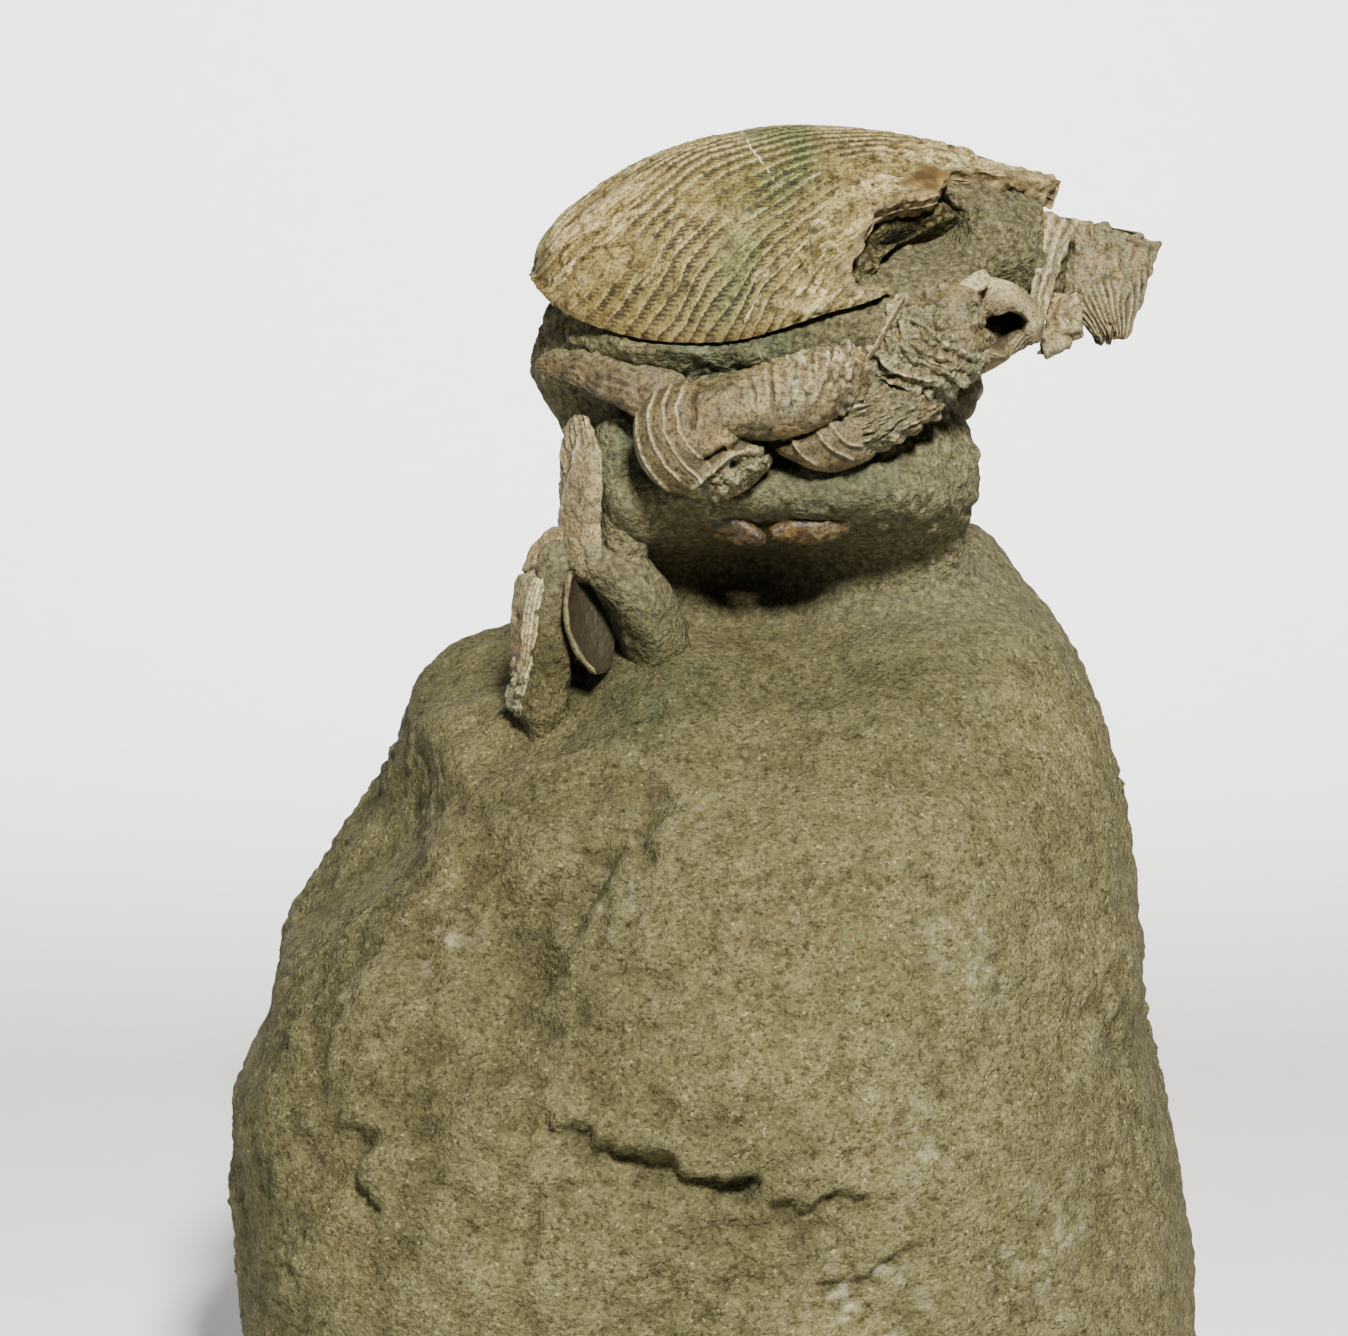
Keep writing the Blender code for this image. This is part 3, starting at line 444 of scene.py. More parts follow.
def plate_grid(edge_a, edge_b, bulge, thick, rows, columns):
    """Closed loops of points round a thin plate between two edge lines. Each point comes with its share
    of the length, its share of the width from edge a, and 1 on the outer face or -1 on the inner."""
    share = np.linspace(0, 1, rows)
    a, b = smooth(edge_a, share)[:, None], smooth(edge_b, share)[:, None]
    across = (1 - np.cos(np.linspace(0, math.pi, columns))) / 2
    flat = a + (b - a) * across[None, :, None]
    normal = np.cross(b - a, np.gradient(flat, axis=0))
    normal /= np.linalg.norm(normal, axis=-1, keepdims=True)
    if (normal * (flat - (5, 0, flat[..., 2].mean()))).sum() < 0:
        normal = -normal
    swell = 4 * across * (1 - across) * np.sin(math.pi * share)[:, None] ** 0.5
    ends = np.minimum(1, np.minimum(share, 1 - share) * rows / 4)[:, None]
    half = thick / 2 * (1 - (2 * across - 1) ** 6) ** 0.5 * np.sqrt(ends)
    flat = flat + normal * (bulge * swell - thick / 2)[..., None]
    outer, inner = flat + normal * half[..., None], flat - normal * half[..., None]
    points = np.concatenate([outer, inner[:, -2:0:-1]], axis=1)
    width = np.concatenate([across, across[-2:0:-1]]) * np.ones((rows, 1))
    side = np.concatenate([np.ones(columns), -np.ones(columns - 2)]) * np.ones((rows, 1))
    return points, share[:, None] * np.ones(points.shape[1]), width, side


# ---------------------------------------------------------------- meshes
def in_scene(name, data):
    """A new object in the scene."""
    made = bpy.data.objects.new(name, data)
    bpy.context.scene.collection.objects.link(made)
    return made


def outward(points, closed=True, inside=None):
    """Unit normals of a grid of points, pointing away from the middle of each ring or from `inside`."""
    along = np.gradient(points, axis=0)
    if closed:
        across = np.roll(points, -1, axis=1) - np.roll(points, 1, axis=1)
        inside = points.mean(1, keepdims=True)
    else:
        across = np.gradient(points, axis=1)
    normal = np.cross(across, along)
    normal /= np.linalg.norm(normal, axis=-1, keepdims=True) + 1e-9
    return -normal if (normal * (points - inside)).sum() < 0 else normal


def raised(points, relief, closed=True, inside=None):
    """Points moved out by their relief."""
    return points + outward(points, closed, inside) * relief[..., None]


def standing_out(relief, passes, closed=True):
    """How far each point stands above its neighbours' mean, from -1 in a cleft to 1 on an edge."""
    mean = relief
    for _ in range(passes):
        mean = (mean + np.vstack([mean[1:], mean[-1:]]) + np.vstack([mean[:1], mean[:-1]])) / 3
        left, right = np.roll(mean, 1, 1), np.roll(mean, -1, 1)
        if not closed:
            left[:, 0], right[:, -1] = mean[:, 0], mean[:, -1]
        mean = (mean + left + right) / 3
    return np.clip((relief - mean) / 0.25, -1, 1)


def sheet(points, closed=True, inside=None, caps=(), **values):
    """A grid of points with its values for the material, its columns in the order that faces outwards.
    `caps` closes the first or last ring to its middle."""
    along = np.gradient(points, axis=0)
    across = np.gradient(points, axis=1)
    middle = points.mean(1, keepdims=True) if inside is None else inside
    values = {name: np.broadcast_to(value, points.shape[:2]) for name, value in values.items()}
    if (np.cross(across, along) * (points - middle)).sum() < 0:
        points = points[:, ::-1]
        values = {name: value[:, ::-1] for name, value in values.items()}
    for end in caps:
        cap = np.broadcast_to(points[end].mean(0), points[end].shape)[None]
        points = np.concatenate((cap, points) if end == 0 else (points, cap))
        values = {name: np.concatenate((value[:1], value) if end == 0 else (value, value[-1:]))
                  for name, value in values.items()}
    return {"points": points, "closed": closed, "values": values}


def build(name, sheets, finish, node):
    """One mesh from grids of points, which rides on the part and stands for a node of it."""
    corners, faces, count = [], [], 0
    for part in sheets:
        rows, columns = part["points"].shape[:2]
        number = np.arange(rows * columns).reshape(rows, columns) + count
        if part["closed"]:
            number = np.concatenate([number, number[:, :1]], axis=1)
        quads = np.stack([number[:-1, :-1], number[:-1, 1:], number[1:, 1:], number[1:, :-1]], -1)
        faces.append(quads.reshape(-1, 4))
        corners.append(part["points"].reshape(-1, 3))
        count += rows * columns
    corners, faces = np.concatenate(corners) * MM, np.concatenate(faces)
    mesh = bpy.data.meshes.new(name)
    mesh.vertices.add(len(corners))
    mesh.vertices.foreach_set("co", corners.ravel())
    mesh.loops.add(faces.size)
    mesh.loops.foreach_set("vertex_index", faces.ravel())
    mesh.polygons.add(len(faces))
    mesh.polygons.foreach_set("loop_start", np.arange(len(faces)) * 4)
    for key in sorted({key for part in sheets for key in part["values"]}):
        value = [part["values"].get(key, np.zeros(part["points"].shape[:2])).ravel() for part in sheets]
        mesh.attributes.new(key, "FLOAT", "POINT").data.foreach_set("value", np.concatenate(value))
    mesh.update(calc_edges=True)
    mesh.validate()
    mesh.shade_smooth()
    mesh.materials.append(finish)
    made = in_scene(name, mesh)
    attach(made, "root")
    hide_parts(node)


# ---------------------------------------------------------------- the stone
def runs_out(flat, line):
    """1 beside a line, falling to 0 past its two ends."""
    share = 1
    for end, inner in ((line[0], line[1]), (line[-1], line[-2])):
        out = np.subtract(end, inner) / math.dist(end, inner)
        away = flat - end
        past = soft_step(-2.5, 1.0, away @ out)
        share = share * (1 - past * bell(np.linalg.norm(away, axis=-1), 9))
    return share


def stone_relief(points):
    """How far the stone stands out from its plain shape, in mm."""
    x, y, z = points[..., 0], points[..., 1], points[..., 2]
    block = soft_step(84, 76, z)
    front = soft_step(-5, -20, y) * block
    warp = points + 2.2 * drift(points, 9, 20)
    patchy = soft_step(-0.4, 0.5, layers(points, 11, 2, 9)) * (1 - 0.6 * soft_step(60, 68, z) * block)
    relief = 1.1 * layers(warp, 15, 2, 1) * block
    relief += 0.55 * knobs(warp, 6.5, 2, 4) * (0.3 + 0.7 * block * (0.3 + 0.7 * patchy))
    rugged = 1 + 0.5 * soft_step(70, 60, z)
    relief += 0.34 * rugged * knobs(warp, 2.6, 3, 7) * (0.4 + 0.7 * patchy)
    relief += 0.16 * rugged * knobs(points, 1.3, 2, 14) * (0.5 + 0.5 * patchy)
    relief += 0.12 * noise(points, 0.8, 11)
    flat = side_view(points) + 2.0 * drift(points, 4.5, 30, 2) + 0.9 * drift(points, 1.6, 32, 2)
    uneven = 0.95 + 0.55 * noise(points, 5, 34)
    for line, height, width, fade in STONE_STEPS:
        away = line_distance(flat, line)
        step = (soft_step(-width, width, away) - 1) * np.exp(-np.abs(away) / fade)
        relief += front * height * uneven * step * runs_out(flat, line)
    for *middle, radius, height in STONE_SPOTS:
        relief += height * bump_at(points, middle, radius)
    broken = soft_step(13, 17, x) * soft_step(84, 88, z) * soft_step(2, -4, y) * soft_step(103, 98, z)
    fibres = np.stack([x + 0.5 * z, y * 0.8, z * 0.45 - 0.4 * x], -1)
    relief += broken * (0.55 * knobs(fibres, 1.5, 3, 13) + 0.45 * crumbs(points, 0.9, 3))
    matrix = soft_step(102, 106, z) * soft_step(6, 0, y)
    relief += matrix * (0.35 * knobs(points, 2.2, 3, 16) + 0.3 * crumbs(points, 0.8, 8))
    return relief * soft_step(0, 2.5, z)


def tuck_under(points, shell, depth):
    """Lays the stone's points that are near the inside of the carapace, or would come through it, just
    inside it."""
    rows, columns = shell.shape[:2]
    corner = np.arange((rows - 1) * columns).reshape(rows - 1, columns)[:, :-1].ravel()
    quads = np.stack([corner, corner + 1, corner + columns + 1, corner + columns], -1)
    tree = BVHTree.FromPolygons([Vector(p) for p in shell.reshape(-1, 3)], quads.tolist())
    middle = Vector(SHELL_INSIDE)
    flat = points.reshape(-1, 3)
    for i in np.flatnonzero(flat[:, 2] > TUCK_FROM):
        point = Vector(flat[i])
        place, normal, _, distance = tree.find_nearest(point)
        if normal.dot(place - middle) < 0:
            normal = -normal
        height = (point - place).dot(normal)
        beside = ((point - place) - normal * height).length
        if height > -depth and beside < 0.3 + 0.3 * distance:
            flat[i] = place - normal * depth
    return flat.reshape(points.shape)


def stain_and_shade_share(points, stains):
    """How strongly a list of patches marks each point. Stains, pale crusts and patches of painted shade
    all come as such lists.
    """
    return sum(share * bump_at(points, middle, radius) for *middle, radius, share in stains)


def stone_sheet(points, relief, closed=True, inside=None, caps=(), already=False, painted_shade=0.0):
    """A sheet of stone with green stains, patches of painted shade and a pale crust in flecks. The stone is
    coarse and dusty from the neck up, and a share of painted shade can darken all of it. `already` says
    that the relief is in."""
    if not already:
        points = raised(points, relief, closed, inside)
    coarse = soft_step(76, 84, points[..., 2])
    dusty = coarse * (0.16 - 0.06 * soft_step(102, 106, points[..., 2]))
    mottle = 1 + 0.7 * noise(points, 2.5, 40) + 0.4 * noise(points, 0.9, 41)
    green = unit(stain_and_shade_share(points, GREEN_STAINS) * mottle)
    # The dark share is painted shade, from the listed patches.
    dark = unit(stain_and_shade_share(points, PAINTED_SHADE_PATCHES) * (1 + 0.3 * noise(points, 5, 42)))
    flecks = 1.3 * soft_step(0.05, 0.5, layers(points, 1.1, 3, 43))
    pale = np.clip(stain_and_shade_share(points, PALE_CRUSTS) * flecks, 0, 0.7)
    return sheet(points, closed, inside, caps, hollow=standing_out(relief, 14, closed), green=green,
                 dark=unit(dark + painted_shade), pale=unit(pale + dusty - painted_shade), coarse=coarse)


def rib_sheet(name, seed):
    """One of the ribs of stone that the limbs lie on."""
    points, *_ = limb_grid(STONE_RIBS[name], rows=70, sides=60)
    relief = 0.5 * layers(points, 4, 2, seed) + 0.25 * knobs(points, 2.2, 3, seed + 3)
    relief += 0.10 * noise(points, 0.7, seed + 7)
    return stone_sheet(points, relief, caps=(0, -1))


def filling_sheet():
    """Coarse sandstone that fills the carapace and shows, set back, where the shell has broken away."""
    share, across = np.meshgrid(np.linspace(0.70, 1.0, 120), np.linspace(-30, 88, 130), indexing="ij")
    points = carapace_at(share, across)
    behind = share - np.interp(across, *zip(*BROKEN_EDGE))
    depth = 2.0 + 6 * soft_step(-0.03, -0.08, behind) + 1.2 * soft_step(14, 24, across)
    hollow = bell(share - 0.94, 0.035) * bell(across - 47, 9)
    hollow += 0.45 * bell(share - 0.89, 0.03) * bell(across - 62, 9)
    depth += 2.6 * hollow + 5 * soft_step(-20, -30, across) + 1.5 * soft_step(82, 88, across)
    depth += 9 * soft_step(0.965, 1.0, share) * soft_step(24, 34, across)
    relief = 0.8 * knobs(points, 2.6, 3, 53) + 0.5 * crumbs(points, 0.9, 54)
    # Painted shade: the whole filling is darkened a little, and its hollow behind the broken edge much more.
    return stone_sheet(raised(points, relief - depth, False, SHELL_INSIDE), relief, False, SHELL_INSIDE,
                       already=True, painted_shade=unit(0.1 + 0.9 * hollow))


def stone(finish):
    """The block, the neck and the ribs are three meshes, so that each stays light. The first two share
    the ring between them."""
    block = stone_grid(even_shares(0, BLOCK_SHARE, BLOCK_ROWS), STONE_COLUMNS)
    neck = stone_grid(even_shares(BLOCK_SHARE, 1, NECK_ROWS), STONE_COLUMNS)
    whole = add_lumps(np.concatenate([block, neck[1:]]), STONE_LUMPS)
    whole[0, :, 2] = 0
    relief = stone_relief(whole)
    whole = fit_sides(raised(whole, relief))
    shell = carapace_at(*shell_chart(40, np.linspace(-90, 90, 36)))
    whole = tuck_under(whole, shell, SHELL_THICK + 0.3)
    last = len(block)
    foot = whole[:1] * np.linspace(0, 1, FOOT_ROWS + 1)[:-1, None, None]
    flat = np.zeros((FOOT_ROWS, STONE_COLUMNS))
    build("stone_block", [stone_sheet(np.concatenate([foot, whole[:last]]),
                                      np.concatenate([flat, relief[:last]]), already=True)],
          finish, "sandstone_block")
    build("stone_neck", [stone_sheet(whole[last - 1:], relief[last - 1:], caps=(-1,), already=True)],
          finish, "sandstone_block")
    tongue, *_ = plate_grid(*TONGUE, bulge=0.3, thick=4.0, rows=60, columns=40)
    rough = 0.6 * knobs(tongue, 2.2, 3, 50) + 0.35 * crumbs(tongue, 0.9, 51)
    far_bump = blob_grid((23.6, 4.0, 101.0), (2.0, 3.0, 2.4), rows=30, columns=40)
    build("stone_ribs", [
        stone_sheet(tongue, rough, caps=(0, -1)),
        filling_sheet(),
        stone_sheet(far_bump, 0.15 * noise(far_bump, 1.5, 59)),
        *(rib_sheet(name, 200 + 10 * i) for i, name in enumerate(STONE_RIBS)),
    ], finish, "sandstone_block")


# ---------------------------------------------------------------- the carapace
def chart_away(share, across, line):
    """Signed distance along the shell, in mm, from a line of (share of the length, degrees)."""
    flat = np.stack([share * SHELL_LENGTH, across / 90 * NEAR_ARC], -1)
    return line_distance(flat, [(t * SHELL_LENGTH, a / 90 * NEAR_ARC) for t, a in line])


def terrace_count(share, across, points):
    """Counts the terraces along the shell. Its whole numbers are their edges, which run forward as they
    climb to the crest."""
    run = np.linspace(-0.8, 1.2, 600)
    gap = 0.022 + 0.020 * soft_step(-0.08, 0.12, run) - 0.010 * soft_step(0.35, 0.5, run)
    count = np.concatenate([[0], np.cumsum(np.diff(run) / gap[1:])])
    side = np.sqrt(across**2 + 25)
    lean = 0.36 * (1 - side / 90) + 0.15 * np.exp(-side / 18)
    wave = 0.013 * noise(points, 7, 60) + 0.009 * noise(points, 2.8, 61) + 0.0035 * noise(points, 1.1, 62)
    return np.interp(share - lean + wave, run, count)


def carapace(finish):
    """The terraced shell of the back: fine steps all over, worn and knobbly in front, flaked behind,
    with its vein, its crack, its stains and its broken edge."""
    across = np.concatenate([np.linspace(-90, 0, 46)[:-1], np.linspace(0, 90, 185)])
    share, across = shell_chart(SHELL_ROWS, across, jag=0.008)
    points = carapace_at(share, across)
    side = np.abs(across)
    along = across / 90 * NEAR_ARC
    count = terrace_count(share, across, points)
    part = count - np.floor(count)
    hind = soft_step(0.44, 0.2, share)
    front = soft_step(0.66, 0.80, share + 0.05 * noise(points, 5, 63))
    worn = front + 0.85 * soft_step(0.0, 0.4, layers(points * (1, 1, 0.7), 5, 3, 64))
    worn = unit(worn + 0.75 * hind * soft_step(-0.6, 0.1, noise(points, 3, 65)))
    rise = part**1.2 * soft_step(1.0, 0.90, part)
    top = 1 - 0.6 * bell(side, 14)
    relief = TERRACE_STEP * rise * (1 - 0.8 * worn) * (1 - 0.35 * hind) * top
    streaks = np.stack([count * 0.9, along / 3.2, count * 0], -1)
    flake = soft_step(0.05, 0.16, layers(streaks, 1.0, 4, 66) - 0.18 + 0.24 * hind + 0.22 * front)
    relief += (0.14 * flake + 0.09 * layers(points, 1.2, 3, 67)) * top
    relief += front * (0.5 * knobs(points, 2.0, 3, 68) + 0.12 * noise(points, 0.8, 70))
    relief += 0.25 * bell(side - 87, 2.6) * (1 + noise(points, 2.5, 69))
    jitter = share + 0.003 * noise(points, 1.6, 73) + 0.001 * noise(points, 0.6, 76)
    vein = chart_away(jitter, across, PALE_VEIN)
    crack = chart_away(jitter, across, DARK_CRACK)
    vein_near = soft_step(0.9, 0.3, np.abs(vein)) * soft_step(-0.15, 0.3, noise(points, 0.7, 74))
    crack_near = soft_step(0.9, 0.3, np.abs(crack)) * soft_step(-0.9, 0.0, noise(points, 1.6, 78))
    relief -= 0.14 * bell(crack, 0.2) * crack_near
    green = bell(chart_away(share, across, GREEN_BAND), 3.4) * (across > 0)
    orange = flat_bell(share - 0.868 - 0.002 * (across - 28), 0.035) * flat_bell(across - 28, 7)
    orange = np.maximum(unit(1.5 * orange), 0.35 * soft_step(82, 89, side) * (1 - front))
    relief = relief * (1 - 0.7 * orange * (share > 0.8)) + 0.35 * orange * (share > 0.8)
    relief = relief * soft_step(0.004, 0.05, share)
    to_break = (np.interp(across, *zip(*BROKEN_EDGE)) - share) * SHELL_LENGTH + 0.9 * noise(points, 1.3, 79)
    values = {
        "share": share, "terrace": count, "along": along, "worn": worn, "flake": flake, "vein": vein,
        "vein_near": vein_near, "crack": crack, "crack_near": crack_near,
        "green": green * (0.75 + 0.5 * noise(points, 3, 71)), "orange": orange,
        "hollow": standing_out(relief, 6, False),
        "inside_of": unit(0.85 * soft_step(2.3, 0.2, to_break) * (across > 3) * (1 - orange)
                          + 0.7 * soft_step(0.88, 0.95, share + 0.03 * noise(points, 1.5, 81))),
    }
    normal = outward(points, False, SHELL_INSIDE)
    normal[:3] = normal[3]
    points = points + normal * relief[..., None]
    inner = carapace_at(*shell_chart(50, np.linspace(-90, 90, 46)))
    under = outward(inner, False, SHELL_INSIDE)
    under[:2] = under[2]
    inner = inner - under * SHELL_THICK * np.linspace(0, 8, 50).clip(0.1, 1)[:, None, None]
    build("shell_carapace", [
        sheet(points, False, SHELL_INSIDE, **values), *rim_sheets(points, normal, values),
        sheet(inner, False, SHELL_INSIDE, inside_of=1.0),
    ], finish, "carapace")


def rim_sheets(points, normal, values):
    """The broken thickness of the shell, all round its edge."""
    found = []
    for line in (np.s_[-1, :], np.s_[:, 0], np.s_[:, -1]):
        edge, out = points[line], normal[line]
        depth = np.linspace(0, 2.8, 11)[:, None, None]
        wall = edge[None] - out[None] * depth * soft_step(0, 0.04, values["share"][line])[None, :, None]
        wall = wall + 0.3 * drift(wall, 0.7, 72) * (depth > 0)
        along = {key: np.broadcast_to(value[line], wall.shape[:2]) for key, value in values.items()}
        along["inside_of"] = soft_step(0.1, 0.5, depth[..., 0] + 0 * along["along"])
        found.append(sheet(wall, False, BELOW_SHELL, **along))
    return found


# ---------------------------------------------------------------- limbs
# Outlines as seen from the near side, as x, z.
WRIST_OUTLINE = [
    (1.3, 105.3), (-0.5, 105.1), (-2.2, 104.8), (-4.1, 104.5), (-6.0, 103.8), (-7.4, 102.7),
    (-8.3, 101.2), (-8.5, 99.4), (-8.2, 97.3), (-7.0, 95.4), (-5.7, 94.4), (-3.7, 93.7), (-1.8, 93.2),
    (0.5, 93.3), (2.4, 94.2), (3.8, 95.4), (4.8, 96.8), (4.4, 97.8), (3.2, 98.5), (2.3, 100.0),
    (2.1, 102.6), (1.9, 104.4),
]
SHOULDER_OUTLINE = [
    (17.6, 112.6), (19.6, 113.0), (21.3, 113.6), (23.1, 114.2), (24.8, 113.6), (25.4, 111.3),
    (25.4, 108.8), (25.4, 106.7), (24.5, 104.6), (22.8, 103.8), (20.6, 102.5), (17.7, 102.3),
    (15.3, 102.8), (13.8, 104.1), (13.4, 105.8), (14.4, 107.6), (16.0, 110.3),
]
SOCKET_OUTLINE = [
    (24.3, 112.9), (25.6, 113.6), (27.1, 113.7), (28.2, 113.3), (29.3, 112.6), (30.3, 111.6),
    (30.9, 110.5), (31.2, 109.2), (31.0, 108.0), (29.7, 107.4), (28.1, 106.6), (26.9, 105.7),
    (25.7, 104.9), (24.4, 104.6), (23.8, 107.0), (23.8, 110.0),
]
CLAW_ARM = [
    (-3.0, -17.6, 101.9, 0.6, 0.6), (-2.0, -17.9, 101.9, 2.4, 3.4), (0.0, -18.1, 102.0, 3.2, 4.4),
    (2.8, -18.0, 102.4, 3.5, 4.5), (6.0, -18.0, 103.0, 3.8, 4.5), (9.4, -17.7, 104.2, 3.6, 4.2),
    (11.6, -17.2, 105.3, 3.0, 3.6), (13.0, -16.8, 106.1, 2.2, 2.9), (13.9, -16.6, 106.5, 0.8, 0.9),
]
HAND_OUTLINE = [
    (5.0, 98.2), (6.9, 99.2), (9.0, 100.9), (11.1, 102.6), (13.2, 104.1), (15.3, 104.6), (17.6, 104.2),
    (20.0, 103.4), (21.5, 102.3), (21.0, 101.2), (19.6, 100.0), (17.5, 98.8), (15.3, 97.5),
    (13.2, 96.4), (11.1, 95.8), (9.0, 95.9), (6.9, 96.8), (5.3, 97.7),
]
FAR_ARM = [
    (25.2, 8.2, 102.4, 0.8, 0.8), (24.4, 8.8, 102.3, 3.0, 3.0), (20.6, 11.2, 101.8, 4.1, 4.0),
    (15.0, 13.8, 101.2, 4.5, 4.2), (9.0, 15.4, 100.8, 4.7, 4.3), (4.0, 16.0, 100.2, 4.1, 3.9),
    (1.6, 16.0, 99.8, 2.8, 2.8), (0.8, 16.0, 99.7, 0.8, 0.8),
]
# Thin ridges and furrows on the near side of each piece, as lines of x, z.
WRIST_RIDGES = [
    [(-6.6, 104.2), (-8.1, 101.8), (-8.2, 99.8), (-7.8, 97.9), (-6.4, 95.8), (-5.2, 94.6)],
    [(-6.0, 104.4), (-7.0, 102.1), (-7.0, 100.2), (-6.4, 98.5), (-5.5, 96.9), (-4.1, 95.6)],
    [(-4.6, 105.0), (-5.7, 102.7), (-5.7, 100.4), (-4.8, 98.7), (-3.4, 96.7), (-1.8, 95.5)],
    [(-3.4, 105.0), (-4.5, 102.5), (-4.3, 100.4), (-3.4, 98.9), (-2.1, 97.8), (-1.0, 96.7)],
]
WRIST_LIP = [(-2.6, 94.9), (-1.2, 96.4), (-0.1, 97.3), (1.0, 98.0), (2.4, 98.3), (3.8, 98.2)]
WRIST_FOLD = [(-1.6, 97.4), (-0.7, 97.8), (0.3, 98.5), (1.6, 98.8)]
ARM_FURROWS = [
    [(1.2, 105.5), (1.6, 102.4)], [(2.7, 105.6), (3.2, 101.8)], [(4.6, 106.4), (4.8, 103.4), (4.4, 101.7)],
    [(6.7, 107.0), (6.6, 104.3), (6.3, 101.7)], [(8.7, 107.4), (8.5, 104.9), (7.8, 102.0)],
    [(10.5, 107.8), (10.2, 105.5), (9.2, 102.8)], [(12.0, 107.8), (11.5, 105.9), (10.4, 103.8)],
]
ARM_CRESCENT = [(-1.1, 102.7), (-1.2, 101.8), (-0.3, 100.6)]
HAND_RIDGES = [
    [(6.6, 98.9), (7.6, 97.6), (8.9, 96.7)], [(9.6, 99.3), (10.8, 98.2), (12.3, 97.5)],
    [(10.6, 100.3), (12.0, 99.1), (13.6, 98.4)], [(12.0, 101.3), (13.6, 100.3), (15.0, 99.9)],
]
SHOULDER_RIDGES = [
    [(17.6, 110.5), (19.5, 109.6), (21.4, 108.1), (23.4, 106.7)],
    [(16.1, 108.6), (18.1, 107.5), (20.0, 106.5), (22.4, 105.7)],
    [(15.0, 106.7), (17.1, 105.5), (19.0, 104.8), (21.4, 104.6)],
]
SHOULDER_BLADE = [(17.7, 112.7), (16.0, 110.2), (14.4, 107.6), (13.6, 106.2)]
SHOULDER_FACET = [(22.0, 111.6), (23.0, 109.9), (23.9, 108.5)]
SOCKET_ARCH = [(24.6, 112.8), (26.1, 112.9), (27.5, 112.6), (28.7, 111.9), (29.6, 110.9), (30.1, 109.8)]
SOCKET_HOLE = [(26.4, 109.0), (26.9, 109.2), (27.5, 109.4), (28.2, 109.6)]


def dome_grid(outline, middle, near, far, rows, columns):
    """Rings of points over a body with a rounded near and far side, whose outline from the near side
    is given. `middle` is x, y, z; `near` and `far` are how deep the two sides are."""
    x, y, z = middle
    edge = smooth([*outline, outline[0]], np.arange(columns) / columns) - (x, z)
    front = np.linspace(0.01, math.pi / 2, round(rows * 0.78))
    rise = np.concatenate([front, np.linspace(math.pi / 2, math.pi - 0.02, rows - len(front) + 1)[1:]])
    reach, height = np.sin(rise)[:, None], np.cos(rise)[:, None]
    height = np.where(height > 0, near, far) * np.sign(height) * np.abs(height) ** 0.8
    return np.stack([x + reach * edge[:, 0], y - height + 0 * reach * edge[:, 0],
                     z + reach * edge[:, 1]], -1), (height > 0) + 0 * edge[:, 0]


def near_line(points, line, width, waver=0.0, seed=0):
    """1 on a line of x, z, falling to 0 about 1.5 widths away, with a waver of its own."""
    bent = side_view(points)
    if waver:
        bent = bent + waver * drift(points, 1.3, seed, 2)
    return bell(line_distance(bent, line), width)


def sharp_ridges(points, lines, height, fall, seed):
    """Relief of thin ridges whose left side falls away slowly, and how far each point is on a crest."""
    bent = points + 0.35 * drift(points, 1.8, seed)
    relief, crest = 0.0, np.zeros(points.shape[:-1])
    for line in lines:
        away = line_distance(side_view(bent), line)
        edge = bell(away, 0.2)
        relief += height * (0.5 * edge + np.exp(-np.abs(away) / fall) * soft_step(0.15, -0.15, away))
        crest = np.maximum(crest, edge)
    return relief, crest


def limb_sheet(points, relief, **values):
    """A closed sheet of limb shell with its relief and its values for the material."""
    return sheet(raised(points, relief), caps=(0, -1), hollow=standing_out(relief, 8), **values)


def limb_piece(name, finish, node, points, relief, slot="limb_shell", **values):
    """A piece of limb shell that is one closed sheet."""
    build(name, [limb_sheet(points, relief, **values)], finish, node)


def claw_wrist(finish):
    """The elbow: a limb bent downwards and back, with thin ridges round the bend. Its end is broken
    open and full of sand."""
    points, near = dome_grid(WRIST_OUTLINE, (-1.6, -17.6, 99.6), near=5.2, far=3.2, rows=160, columns=208)
    x, z = points[..., 0], points[..., 2]
    relief, crest = 0.0, 0.0
    bent = side_view(points) + 0.12 * drift(points, 1.6, 80, 2)
    for line in WRIST_RIDGES:
        away = line_distance(bent, line)
        edge = bell(away, 0.11) * near
        relief += 0.13 * edge + 0.16 * near * np.exp(-np.abs(away) / 0.7) * (away > 0)
        crest = np.maximum(crest, edge)
    fine = np.abs(line_distance(side_view(points), WRIST_RIDGES[2]) / 0.45 + 0.3 * noise(points, 2, 82))
    relief += 0.04 * np.abs(fine % 1 - 0.5) + 0.06 * layers(points, 1.8, 3, 83)
    broken = soft_step(0.1, 0.5, line_distance(side_view(points), WRIST_LIP) + 0.2 * noise(points, 1, 86))
    broken = broken * soft_step(-4.0, -2.2, x) * near
    lip = near_line(points, WRIST_LIP, 0.30, 0.3, 87) * near
    fold = near_line(points, WRIST_FOLD, 0.45, 0.2, 89) * near
    relief += broken * (0.5 * knobs(points, 1.0, 3, 91) - 0.35) + 0.45 * lip - 1.1 * fold
    relief -= 1.3 * bell(x - 1.4, 0.5) * bell(z - 96.5, 0.8) * near
    seam = near_line(points, [(-2.5, 105.2), (-2.9, 102.7), (-3.0, 100.6)], 0.28, 0.4, 94) * near
    relief += 0.3 * soft_step(-2.8, -1.5, x) * knobs(points, 2.2, 3, 96) * near - 0.5 * seam
    sand = broken * soft_step(-0.5, 0.1, layers(points, 1.2, 2, 99))
    ridge = unit(0.7 * crest * (0.8 + 0.4 * noise(points, 0.8, 101)) + 0.4 * lip + 0.25 * broken)
    limb_piece("claw_elbow", finish, "claw_wrist", points, relief, ridge=ridge, sand=sand, shade=0.35,
               tan=unit(0.5 * seam + 0.6 * broken))


